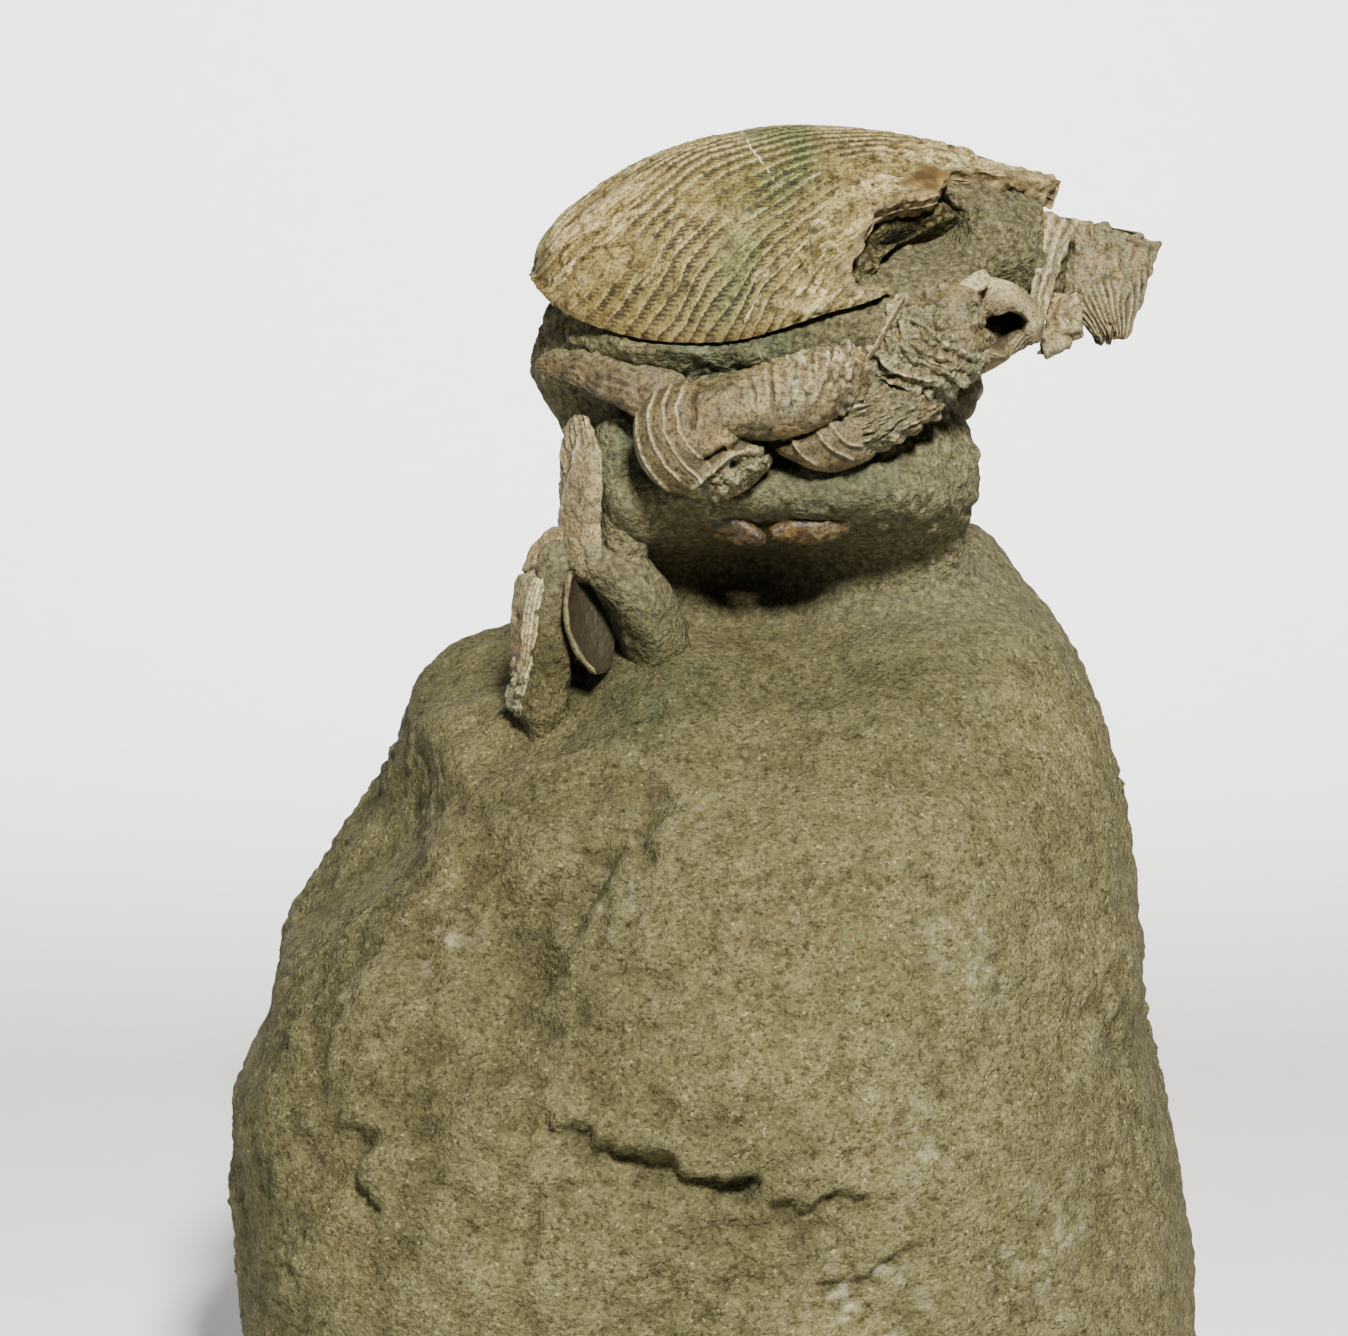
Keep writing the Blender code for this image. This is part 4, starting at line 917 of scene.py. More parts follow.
def claw_arm(finish):
    """The long arm: knobbly bands between furrows on its upper half, smooth and grey below."""
    points, _, turn = limb_grid(CLAW_ARM, rows=180, sides=130)
    x = points[..., 0]
    furrow = np.max([near_line(points, line, 0.26, 0.35, 110 + i) * (0.6 + 0.4 * noise(points, 1.2, 120 + i))
                     for i, line in enumerate(ARM_FURROWS)], axis=0)
    upper = np.maximum(soft_step(118, 80, turn), soft_step(260, 300, turn))
    furrow = furrow * (0.15 + 0.85 * upper) * (0.4 + 0.6 * soft_step(1.5, 4, x))
    rough = soft_step(1.5, 9, x) * upper
    end = soft_step(9.0, 11.5, x)
    rims = np.max([near_line(points, line, 0.75, 0.35, 110 + i)
                   for i, line in enumerate(ARM_FURROWS)], axis=0)
    rims = rims * upper * soft_step(1.0, 4, x) * (1 - furrow)
    relief = 0.25 * rims - 0.5 * furrow + (0.12 + 0.3 * rough + 0.3 * end) * knobs(points, 1.1, 3, 130)
    relief += 0.06 * layers(points, 1.0, 3, 134) - 0.3 * near_line(points, ARM_CRESCENT, 0.15)
    fleck = soft_step(0.1, 0.4, layers(points * (1.6, 1, 0.6), 1.4, 3, 136)) * rough
    relief += 0.12 * fleck
    tan = upper * soft_step(-0.1, 0.4, noise(points * (2.0, 1, 0.5), 2.2, 139)) * soft_step(0.5, 3, x)
    sand = soft_step(0.15, 0.5, layers(points * (1.4, 1, 0.6), 2.2, 3, 140)) * soft_step(-4, -1, x)
    sand = 0.7 * sand + 0.7 * furrow * upper
    ridge = unit(0.5 * fleck + 0.3 * rims + 0.3 * end * fleck)
    limb_piece("claw_long_arm", finish, "claw_arm", points, relief, ridge=ridge, sand=unit(sand),
               tan=0.45 * tan, shade=0.12)


def claw_hand(finish):
    """The flat hand below the arm: smooth facets at its tip with sharp edges between them, then rows of
    thin overlapping flakes."""
    points, near = dome_grid(HAND_OUTLINE, (12.5, -15.4, 100.0), near=4.0, far=3.0, rows=130, columns=158)
    x, z = points[..., 0], points[..., 2]
    points[..., 1] += (x - 12.5) * 0.20
    relief, crest = sharp_ridges(points, HAND_RIDGES, 0.42, 0.9, 145)
    rough = soft_step(-0.3, 0.5, (x - 12.2) * 0.5 + (z - 100) * 0.5 + 0.5 * noise(points, 2, 143))
    flakes = np.stack([(x * 0.95 + z * 0.30) * 0.42, points[..., 1] * 0.4,
                       (z * 0.95 - x * 0.30) * 1.5 + 0.5 * noise(points, 2.5, 144)], -1)
    rows = knobs(flakes, 1.0, 3, 148)
    relief = relief * near * (1 - rough) + rough * (0.75 * rows) + 0.05 * layers(points, 1.2, 2, 151)
    sand = soft_step(0.1, -0.3, rows) * rough
    ridge = unit(crest * 0.7 * (1 - rough) + 0.6 * rough * soft_step(0.15, 0.5, rows))
    limb_piece("claw_flat_hand", finish, "claw_hand", points, relief, ridge=ridge, sand=sand * 0.9,
               shade=0.55)


def claw_shoulder(finish):
    """The rough end of the hand: ridged shell and sand, with a thin blade along its left, a smooth tan
    cap, a smooth facet and a splinter."""
    points, near = dome_grid(SHOULDER_OUTLINE, (19.8, -12.6, 107.8), near=4.6, far=3.4, rows=170,
                             columns=200)
    x, z = points[..., 0], points[..., 2]
    relief, crest = sharp_ridges(points, SHOULDER_RIDGES, 0.6, 1.1, 160)
    cap = np.exp(-(((x - 23.0) / 1.7) ** 2 + ((z - 113.0) / 1.1) ** 2) ** 2) * near
    facet = near_line(points, SHOULDER_FACET, 0.6) ** 0.5 * near
    calm = unit(cap + facet)
    blade = near_line(points, SHOULDER_BLADE, 0.3)
    rough = 0.55 * knobs(points, 1.1, 3, 162) + 0.12 * noise(points, 0.6, 165)
    rows = np.abs(((x - 14) * 0.45 + (z - 103) * 0.9 + 0.5 * noise(points, 2, 168)) / 1.35 % 1 - 0.5) * 2
    rough = rough + 0.4 * rows * soft_step(109.5, 107, z) * near
    relief = (0.5 * relief * near * (1 - calm) + rough * (1 - 0.9 * calm) + 0.4 * cap + 0.3 * facet
              + 0.4 * blade)
    sand = soft_step(-0.25, 0.15, layers(points, 1.4, 3, 167)) * (1 - calm) * (1 - blade)
    ridge = crest * 0.4 + 0.15 * calm + 0.4 * blade + 0.4 * soft_step(0.3, 0.6, relief) * (1 - calm)
    wing, *_ = plate_grid(
        [(17.6, -15.8, 112.8), (16.1, -16.9, 110.4), (14.6, -17.2, 107.8), (13.5, -16.6, 106.0)],
        [(18.2, -12.4, 112.4), (17.0, -12.4, 110.0), (15.8, -12.4, 107.4), (14.6, -12.4, 106.0)],
        bulge=0.1, thick=0.34, rows=90, columns=30)
    splinter, *_ = plate_grid(
        [(22.6, -15.2, 113.8), (23.6, -15.0, 114.5), (24.7, -14.6, 115.1), (25.4, -14.4, 115.3)],
        [(24.2, -15.2, 112.9), (25.0, -14.9, 113.2), (25.7, -14.6, 113.7), (26.1, -14.4, 114.4)],
        bulge=0.2, thick=0.7, rows=60, columns=30)
    build("claw_rough_shoulder", [
        limb_sheet(points, relief, ridge=unit(ridge), sand=sand, shade=0.4,
                   tan=unit(0.8 * cap + 0.35 * soft_step(-0.1, 0.4, noise(points, 1.8, 171)))),
        limb_sheet(wing, 0.06 * layers(wing, 1.2, 3, 173), ridge=0.75),
        limb_sheet(splinter, 0.12 * layers(splinter, 1.0, 3, 172), ridge=0.6),
    ], finish, "claw_shoulder")


def claw_socket(finish):
    """The broken-open end of the claw: a thick fibrous arch over a hole painted dark as shade, with a
    granular nub at its foot."""
    points, near = dome_grid(SOCKET_OUTLINE, (27.4, -9.6, 109.6), near=3.6, far=2.6, rows=118, columns=144)
    x, z = points[..., 0], points[..., 2]
    bent = side_view(points) + 0.18 * drift(points, 0.9, 180, 2)
    to_hole = np.abs(line_distance(bent, SOCKET_HOLE))
    hole = soft_step(1.65, 1.2, to_hole) * near
    round_it = soft_step(2.6, 0.8, to_hole) * near
    arch = near_line(points, SOCKET_ARCH, 0.9, 0.2, 182) * near
    nub = (1.2 * bell(x - 26.9, 0.8) * bell(z - 107.3, 0.8)
           + bell(x - 25.3, 1.0) * bell(z - 107.0, 1.1)) * near
    cut = (z * 0.75 - x * 0.66) * 4.2 + 0.5 * noise(points, 1.6, 184)
    fibre = off_whole(cut) * 2 * near * (1 - unit(nub)) * (1 - 0.7 * arch)
    relief = 0.9 * arch - 1.5 * round_it * (1 - unit(nub)) + 1.2 * nub + 0.16 * fibre
    relief += 0.15 * layers(points, 1.6, 3, 186) + 0.35 * unit(nub) * knobs(points, 1.0, 2, 189)
    moved = raised(points, relief)
    moved[..., 1] += 4.0 * hole
    grit = unit(nub) * soft_step(-0.3, 0.3, noise(points, 0.9, 192))
    chalk = near_line(points, [(25.4, 113.5), (28.2, 113.2)], 0.5) * near
    build("claw_open_end", [
        sheet(moved, caps=(0, -1), hollow=standing_out(relief, 8), sand=0.5 * grit, pit=hole,
              ridge=unit(0.25 * fibre + 0.7 * chalk + 0.3 * arch), tan=0.25 * arch),
    ], finish, "claw_socket")


def far_arm(finish):
    """The arm on the far side: a plain match for the near one."""
    points, share, _ = limb_grid(FAR_ARM, rows=80, sides=60)
    part = off_whole(share * 8 + 0.3 * noise(points, 3, 195))
    relief = 0.30 * (1 - np.exp(-((part / 0.2) ** 1.5))) + 0.3 * knobs(points, 1.8, 3, 196)
    sand = soft_step(0.1, 0.5, layers(points, 2.4, 3, 199))
    limb_piece("far_long_arm", finish, "far_arm", points, relief, sand=sand,
               ridge=0.3 * soft_step(0.2, 0.4, part))


# ---------------------------------------------------------------- plates
PLATES = {
    "side_plate": (
        [(-18.6, -7.0, 105.7), (-16.9, -9.4, 106.9), (-12.8, -12.0, 107.2), (-10.1, -13.4, 107.2),
         (-6.6, -14.6, 106.9), (-4.2, -15.2, 105.6), (-3.4, -15.4, 104.8)],
        [(-18.5, -7.4, 104.6), (-16.7, -9.6, 104.4), (-13.7, -12.4, 103.5), (-10.6, -14.6, 102.2),
         (-8.3, -16.0, 101.1), (-6.2, -16.4, 102.2), (-4.0, -16.2, 103.6)],
        0.5,
    ),
    "leg_upper": (
        [(-14.9, -8.2, 100.4), (-15.7, -7.4, 98.6), (-16.1, -6.8, 94.9), (-16.2, -6.6, 91.8),
         (-16.1, -7.2, 89.6), (-15.9, -8.2, 87.2), (-15.8, -9.4, 84.9)],
        [(-13.8, -11.0, 100.5), (-12.6, -12.2, 97.8), (-12.5, -12.8, 94.7), (-12.6, -13.0, 91.6),
         (-12.7, -12.9, 88.9), (-12.6, -12.8, 87.1), (-13.2, -12.6, 85.2)],
        0.7,
    ),
    "leg_lower": (
        [(-16.6, -7.6, 90.0), (-18.8, -7.8, 87.8), (-20.4, -8.0, 84.6), (-20.9, -8.4, 81.4),
         (-20.9, -8.6, 77.4), (-20.8, -8.8, 73.6), (-20.8, -9.2, 70.9)],
        [(-15.9, -10.6, 89.6), (-16.1, -11.6, 86.4), (-17.6, -12.4, 83.9), (-18.3, -13.0, 80.4),
         (-18.8, -13.2, 76.8), (-19.7, -13.3, 73.6), (-20.3, -13.0, 71.4)],
        0.6,
    ),
    "leg_blade": (
        [(-15.3, -13.6, 85.7), (-15.6, -14.4, 83.0), (-15.4, -14.8, 80.1), (-14.4, -14.8, 77.6),
         (-12.7, -14.6, 75.5)],
        [(-14.1, -9.8, 84.9), (-12.9, -9.4, 83.2), (-11.5, -9.2, 80.4), (-10.9, -9.4, 77.9),
         (-11.4, -10.4, 75.4)],
        1.0,
    ),
    "belly_shell_left": (
        [(-3.7, -12.5, 91.6), (-1.7, -14.2, 91.4), (0.7, -15.2, 91.0), (2.9, -15.7, 90.0),
         (4.0, -15.6, 89.0)],
        [(-3.5, -12.2, 90.8), (-2.2, -13.2, 89.5), (0.3, -13.8, 88.5), (2.7, -14.4, 88.0),
         (3.9, -15.2, 88.3)],
        0.4,
    ),
    "belly_shell_right": (
        [(4.6, -15.4, 89.8), (6.6, -15.7, 90.6), (9.0, -15.6, 90.7), (11.2, -15.2, 90.8),
         (12.9, -14.4, 90.6)],
        [(4.6, -15.0, 88.9), (6.6, -14.2, 88.2), (9.0, -14.0, 88.2), (11.3, -13.6, 88.8),
         (12.8, -13.4, 89.9)],
        0.4,
    ),
    "front_strip": (
        [(31.8, -3.2, 120.3), (31.2, -4.2, 117.9), (30.9, -5.2, 115.3), (30.2, -6.4, 112.1),
         (31.0, -7.0, 109.8)],
        [(35.0, -3.2, 119.1), (33.9, -4.2, 116.4), (32.9, -5.2, 114.2), (32.0, -6.4, 111.6),
         (31.6, -6.9, 109.6)],
        0.5,
    ),
    "front_lobe": (
        [(32.7, -4.4, 112.4), (32.0, -5.2, 110.2), (31.7, -5.6, 108.0), (31.3, -5.8, 106.4)],
        [(35.6, -3.0, 112.4), (35.9, -3.4, 109.9), (34.7, -4.4, 107.4), (32.3, -5.5, 106.0)],
        0.6,
    ),
    "front_fan": (
        [(34.6, 0.8, 119.2), (34.2, 0.2, 116.0), (34.0, -0.6, 113.4), (35.0, -1.0, 110.6),
         (37.2, -1.0, 107.6)],
        [(41.6, 1.6, 117.4), (43.2, 1.8, 115.6), (42.6, 1.2, 112.9), (41.4, 0.2, 109.7),
         (40.2, -0.4, 106.9)],
        0.5,
    ),
    "far_side_plate": (
        [(-17.0, 8.0, 107.4), (-12.6, 12.0, 109.0), (-6.0, 14.0, 109.4), (0.6, 14.8, 109.0)],
        [(-16.6, 8.0, 105.0), (-12.0, 12.4, 104.4), (-5.6, 15.0, 103.8), (0.8, 15.6, 104.2)],
        0.7,
    ),
}


def flank_plate(node, finish, seed):
    """A side plate of the crab, with faint wavy growth lines that bend down towards its lower edge."""
    points, share, width, side = plate_grid(*PLATES[node], thick=1.1, rows=104, columns=44)
    part = off_whole(width * 5.5 - 3.2 * share + 1.2 * noise(points, 3.0, seed)
                     + 0.5 * noise(points, 1.1, seed + 1))
    fade = 0.2 + 0.8 * soft_step(-0.3, 0.5, noise(points, 2.0, seed + 7))
    relief = 0.09 * (1 - bell(part, 0.16)) * (side > 0) * fade
    relief += 0.25 * knobs(points, 2.2, 3, seed + 2) + 0.05 * noise(points, 0.6, seed + 5)
    sand = soft_step(0.4, 0.0, width + 0.3 * noise(points, 1.6, seed + 6)) * (side > 0)
    limb_piece("shell_" + node, finish, node, points, relief, sand=sand, tan=0.2, shade=0.7,
               ridge=0.25 * soft_step(0.25, 0.45, part) * fade)


def leg_upper(finish):
    """The upper leg: a grey plate of slanted fine ribs, with a tan rolled edge on its right that a
    smooth ridge joins from below."""
    points, share, width, side = plate_grid(*PLATES["leg_upper"], thick=1.1, rows=160, columns=64)
    part = off_whole(points[..., 0] * 1.7 + points[..., 2] * 0.35 + 0.35 * noise(points, 2.0, 260))
    cut = 0.60 - 0.9 * unit(share - 0.28) + 0.03 * noise(points, 1.5, 263)
    rolled = soft_step(-0.05, 0.05, width - cut) * soft_step(0.17, 0.24, share) * (side > 0)
    ribbed = (1 - rolled) * soft_step(0.75, 0.65, share) * (side > 0)
    chips = soft_step(0.0, 0.3, noise(points * (1, 1, 0.6), 0.8, 261))
    relief = 0.22 * ribbed * (1 - bell(part, 0.2)) * (0.4 + 0.6 * chips) + 0.7 * rolled
    relief += 0.22 * knobs(points, 1.6, 3, 262) + 0.05 * noise(points, 0.6, 265)
    seam = bell(width - cut - 0.06, 0.06) * rolled
    ridge = unit(0.2 + 0.35 * seam + 0.5 * ribbed * chips * soft_step(0.2, 0.42, part))
    sand = soft_step(0.2, 0.5, layers(points, 1.4, 2, 267)) * soft_step(0.6, 0.9, share)
    limb_piece("shell_leg_upper", finish, "leg_upper", points, relief, ridge=ridge, sand=sand,
               tan=0.2 * rolled)


def leg_lower(finish):
    """The lower leg: two smooth pale pieces with a ragged joint between them, fine lines down the right
    edge, and a rough foot."""
    points, share, width, side = plate_grid(*PLATES["leg_lower"], thick=1.6, rows=160, columns=50)
    joint = bell(points[..., 2] - 85.2 - 0.7 * noise(points, 1.5, 267), 0.35)
    upper = soft_step(84.6, 85.6, points[..., 2])
    lines = np.abs(width * 14 + 0.4 * noise(points, 2, 268) - np.round(width * 14)) * 2
    lined = soft_step(0.66, 0.76, width) * (1 - upper) * (side > 0)
    low = soft_step(0.66, 0.8, share + 0.12 * noise(points, 1.8, 269))
    relief = 0.16 * lined * lines - 0.55 * joint + (0.10 + 0.5 * low) * knobs(points, 1.5, 3, 270)
    relief += 0.30 * upper * knobs(points, 2.2, 3, 273) + 0.04 * noise(points, 0.6, 276)
    relief -= 0.5 * bump_at(points, (-20.3, -10.6, 80.9), (0.3, 3, 0.6))
    sand = unit(low * soft_step(-0.4, 0.1, noise(points, 1.2, 272)) + 0.6 * joint)
    ridge = unit(0.6 * lined * lines + 0.25 * soft_step(0.55, 0.4, share))
    limb_piece("shell_leg_lower", finish, "leg_lower", points, relief, ridge=ridge, sand=sand,
               tan=0.4 * upper)


def leg_blade(finish):
    """A curved piece of shell seen almost on its edge: the edge is pale and the hollow inside is brown,
    painted near black as shade.
    """
    points, _, width, side = plate_grid(*PLATES["leg_blade"], thick=0.9, rows=90, columns=44)
    inside = soft_step(0.04, 0.09, width + 0.02 * noise(points, 1.5, 280)) * (side < 0)
    relief = 0.10 * knobs(points, 1.8, 3, 281) - 0.1 * inside
    limb_piece("shell_leg_blade", finish, "leg_blade", points, relief, ridge=0.3 * (1 - inside),
               pit=inside, shade=0.8)


def small_plate(node, thick, finish, slot, ribs, rib_height, rough, seed, ridge, sandy, sunk=0):
    """A plate with ribs along it, sunk into the stone behind it by `sunk` mm."""
    points, _, width, side = plate_grid(*PLATES[node], thick, rows=78, columns=34)
    part = off_whole(width * ribs + 0.25 * noise(points, 2, seed)) * 2
    relief = rib_height * part * (side > 0) + rough * knobs(points, 1.5, 3, seed + 1)
    sand = sandy * soft_step(-0.1, 0.4, layers(points, 1.3, 2, seed + 4))
    limb_piece("shell_" + node, finish, node, points + (0, sunk, 0), relief, slot, ridge=ridge * part,
               sand=sand)


def front_fan(finish):
    """The comb at the far right: fine flutes that end in teeth, under a crust of stone and chipped
    shell."""
    points, share, width, side = plate_grid(*PLATES["front_fan"], thick=1.8, rows=130, columns=100)
    flute = width * 11 - 4.0 * share + 0.35 * noise(points, 2.2, 300)
    wave = np.abs(np.sin(math.pi * flute))
    tooth = random_at(np.stack([np.floor(flute), flute * 0, flute * 0], -1).astype(np.int64), 301)
    crust = soft_step(0.60, 0.40, share + 0.22 * noise(points, 1.8, 302) + 0.12 * (width - 0.5))
    relief = (1 - crust) * (0.32 * (wave - 0.5) + 0.12 * knobs(points, 1.2, 2, 308))
    relief += crust * (0.6 * knobs(points * (1, 1, 0.6), 1.4, 3, 303) + 0.2)
    relief += 0.07 * noise(points, 0.6, 304)
    brim = bell(share - 0.07 - 0.25 * (width - 0.6), 0.03) * soft_step(0.6, 0.75, width)
    points = raised(points, relief + 0.5 * brim * (side > 0))
    end = soft_step(0.82, 1.0, share) * (2.6 * tooth - 0.9) * (1.2 - 0.7 * wave)
    points = points + end[..., None] * (0.05, 0, 0.9)
    gap = soft_step(0.25, 0.05, np.abs(flute - 1.6)) * soft_step(0.85, 1.0, share)
    points = points + gap[..., None] * (0, 0, 1.6)
    sand = crust * soft_step(-0.3, 0.2, noise(points, 1.0, 305))
    build("front_comb", [
        sheet(points, caps=(0, -1), hollow=standing_out(relief, 8), sand=0.7 * sand, tan=0.2 * crust,
              ridge=wave**3 * (1 - crust) * 0.5 + 0.2 * crust, shade=0.35),
    ], finish, "front_fan")


# ---------------------------------------------------------------- materials
GRAIN = 0.27             # a grain of medium sand, mm
CRUMB = 0.62             # a crumb of several grains, where the stone is picked rough, mm
TOOTH = 0.40             # from one tooth of a terrace's edge to the next, mm
LINE_WIDTH = 0.08        # half the width of the vein and of the crack, mm
# Colours of the grains, from dark glauconite to pale quartz, by share, with a few rusty ones at the end.
SAND = [(0.0, "#53523c"), (0.10, "#64634c"), (0.28, "#6d6b53"), (0.55, "#757359"), (0.80, "#807d63"),
        (0.94, "#8c886f"), (0.985, "#a39d86"), (0.994, "#745938")]
SHARE, UNDER, OVER, MIXED = 0, 6, 7, 2      # the sockets of a Mix node that mixes colours
BLEND = {"data_type": "RGBA"}
MULTIPLY = {"data_type": "RGBA", "blend_type": "MULTIPLY"}


def srgb(text):
    """An sRGB hex colour as the linear numbers that a shader takes."""
    parts = [int(text[i:i + 2], 16) / 255 for i in (1, 3, 5)]
    return (*(c / 12.92 if c <= 0.04045 else ((c + 0.055) / 1.055) ** 2.4 for c in parts), 1)


def scale_for(size):
    """The scale of a pattern whose lumps are `size` mm across, in a space of metres."""
    return 1 / (size * MM)


def add(tree, kind, inputs=None, stops=(), **settings):
    """Adds a node with its settings and links, and returns its outputs. Each input is a value or another
    node's output, and `stops` are the colours of a ramp as (place, hex)."""
    made = tree.nodes.new(kind)
    for name, value in settings.items():
        setattr(made, name, value)
    for name, value in (inputs or {}).items():
        if isinstance(value, bpy.types.NodeSocket):
            tree.links.new(value, made.inputs[name])
        else:
            made.inputs[name].default_value = value
    if stops:
        marks = made.color_ramp.elements
        while len(marks) < len(stops):
            marks.new(1)
        for mark, (place, colour) in zip(marks, stops):
            mark.position = place
            mark.color = srgb(colour)
    return made.outputs


def new_material(name, roughness, specular, ior=1.5):
    """A material with its shader, and the place of each point in metres."""
    made = bpy.data.materials.new(name)
    made.use_nodes = True
    tree = made.node_tree
    shader = tree.nodes["Principled BSDF"]
    shader.inputs["Roughness"].default_value = roughness
    shader.inputs["Specular IOR Level"].default_value = specular
    shader.inputs["IOR"].default_value = ior
    return made, tree, shader, add(tree, "ShaderNodeTexCoord")["Object"]


def patches(tree, place, size, stops, detail=4.0):
    """A colour from the stops in patches of `size` mm."""
    lumps = add(tree, "ShaderNodeTexNoise", {"Vector": place, "Scale": scale_for(size), "Detail": detail})
    return add(tree, "ShaderNodeValToRGB", {"Fac": lumps["Fac"]}, stops)["Color"]


def mottled(tree, colour, place, size, stops, detail=4.0):
    """A colour darkened in patches of `size` mm."""
    other = patches(tree, place, size, stops, detail)
    return add(tree, "ShaderNodeMix", {SHARE: 1.0, UNDER: colour, OVER: other}, **MULTIPLY)[MIXED]


def shaded(tree, colour, value, stops, share=1.0):
    """A colour darkened as the stops say for each value."""
    other = add(tree, "ShaderNodeValToRGB", {"Fac": value}, stops)["Color"]
    return add(tree, "ShaderNodeMix", {SHARE: share, UNDER: colour, OVER: other}, **MULTIPLY)[MIXED]


def painted(tree, name, colour, other):
    """A colour that gives way to another as far as the mesh's value `name` says."""
    share = add(tree, "ShaderNodeAttribute", attribute_name=name)["Fac"]
    return add(tree, "ShaderNodeMix", {SHARE: share, UNDER: colour, OVER: other}, **BLEND)[MIXED]


def tinted(tree, name, colour, tint):
    """A colour that takes on a tint as far as the mesh's value `name` says."""
    other = add(tree, "ShaderNodeMix", {SHARE: 1.0, UNDER: colour, OVER: srgb(tint)}, **MULTIPLY)[MIXED]
    return painted(tree, name, colour, other)


def with_line(tree, name, colour, line):
    """A colour with a thin line on it. The mesh's value `name` is the distance from the line, and its
    value `name`_near says where the line shows."""
    away, near = (add(tree, "ShaderNodeAttribute", attribute_name=key)["Fac"]
                  for key in (name, name + "_near"))
    away = add(tree, "ShaderNodeMath", {0: away}, operation="ABSOLUTE")[0]
    on = add(tree, "ShaderNodeMapRange", {"Value": away, "From Min": LINE_WIDTH,
                                          "From Max": 0.3 * LINE_WIDTH})["Result"]
    share = add(tree, "ShaderNodeMath", {0: on, 1: near}, operation="MULTIPLY")[0]
    return add(tree, "ShaderNodeMix", {SHARE: share, UNDER: colour, OVER: srgb(line)}, **BLEND)[MIXED]


def painted_cleft_shade(tree, colour, share=1.0):
    """A colour with painted shade in the clefts of the mesh, a little on its flats and none on its edges."""
    hollow = add(tree, "ShaderNodeAttribute", attribute_name="hollow")["Fac"]
    height = add(tree, "ShaderNodeMapRange", {"Value": hollow, "From Min": -1.0})["Result"]
    stops = [(0.0, "#8a8168"), (0.3, "#c9c3b0"), (0.5, "#eeeadd"), (0.8, "#ffffff")]
    return shaded(tree, colour, height, stops, share)


def raise_surface(tree, shader, place, *layers_of_height):
    """Bump in several layers, each a height, its strength and its depth in mm. A height that is a number
    is the size in mm of the lumps to make it of."""
    normal = {}
    for height, strength, depth in layers_of_height:
        if not isinstance(height, bpy.types.NodeSocket):
            height = add(tree, "ShaderNodeTexNoise", {"Vector": place, "Scale": scale_for(height),
                                                      "Detail": 4.0})["Fac"]
        bump = add(tree, "ShaderNodeBump", {"Height": height, "Strength": strength,
                                            "Distance": depth * MM, **normal})
        normal = {"Normal": bump["Normal"]}
    tree.links.new(normal["Normal"], shader.inputs["Normal"])


def sand_colour(tree, place):
    """Sand: a cell for each grain, coloured one by one. Returns its colour and each grain's height."""
    cell = add(tree, "ShaderNodeTexVoronoi", {"Vector": place, "Scale": scale_for(GRAIN)})
    one = add(tree, "ShaderNodeSeparateColor", {"Color": cell["Color"]})
    colour = add(tree, "ShaderNodeValToRGB", {"Fac": one["Red"]}, SAND)["Color"]
    colour.node.color_ramp.interpolation = "CONSTANT"
    return colour, add(tree, "ShaderNodeMath", {0: 1.0, 1: cell["Distance"]}, operation="SUBTRACT")[0]


def glauconitic_sandstone():
    """Split and air-scribed sandstone: matt, each grain its own colour, with green-black glauconite
    among pale quartz and a limy cement that yellows in patches. It is coarse and pitted round the crab."""
    made, tree, shader, place = new_material("glauconitic_sandstone", 0.95, 0.2)
    colour, grain = sand_colour(tree, place)
    colour = mottled(tree, colour, place, 16, [(0.34, "#ccc8b4"), (0.5, "#dcd7c6"), (0.68, "#ece4cf")])
    colour = mottled(tree, colour, place, 3.5, [(0.30, "#d6d6c9"), (0.5, "#ecebe2"), (0.70, "#fbfaf4")], 5.0)
    fine = mottled(tree, colour, place, 0.9, [(0.30, "#bab7a4"), (0.46, "#ffffff")])
    pits = mottled(tree, colour, place, 0.6, [(0.34, "#7c765a"), (0.48, "#eeebdc"), (0.60, "#ffffff")], 3.0)
    crumb = add(tree, "ShaderNodeTexVoronoi", {"Vector": place, "Scale": scale_for(CRUMB)})["Distance"]
    # Painted shade in the crevices between the crumbs, which the bump below sinks.
    pits = shaded(tree, pits, crumb, [(0.35, "#ffffff"), (0.78, "#a39b80")])
    # Painted shade in the clefts of the stone.
    colour = painted_cleft_shade(tree, painted(tree, "coarse", fine, pits), 0.45)
    colour = painted(tree, "pale", colour, patches(tree, place, 0.7, [(0.38, "#7d785c"), (0.6, "#a49e84")]))
    # Painted shade: the dark share darkens the stone.
    colour = tinted(tree, "dark", colour, "#85826a")
    colour = tinted(tree, "green", colour, "#a9cad2")
    tree.links.new(colour, shader.inputs["Base Color"])
    coarse = add(tree, "ShaderNodeAttribute", attribute_name="coarse")["Fac"]
    between = add(tree, "ShaderNodeMath", {0: crumb, 1: coarse}, operation="MULTIPLY")[0]
    sunk = add(tree, "ShaderNodeMath", {0: 1.0, 1: between}, operation="SUBTRACT")[0]
    raise_surface(tree, shader, place, (1.0, 0.9, 0.45), (0.5, 0.8, 0.25), (sunk, 0.5, 0.2),
                  (grain, 0.8, 0.12))
    return made


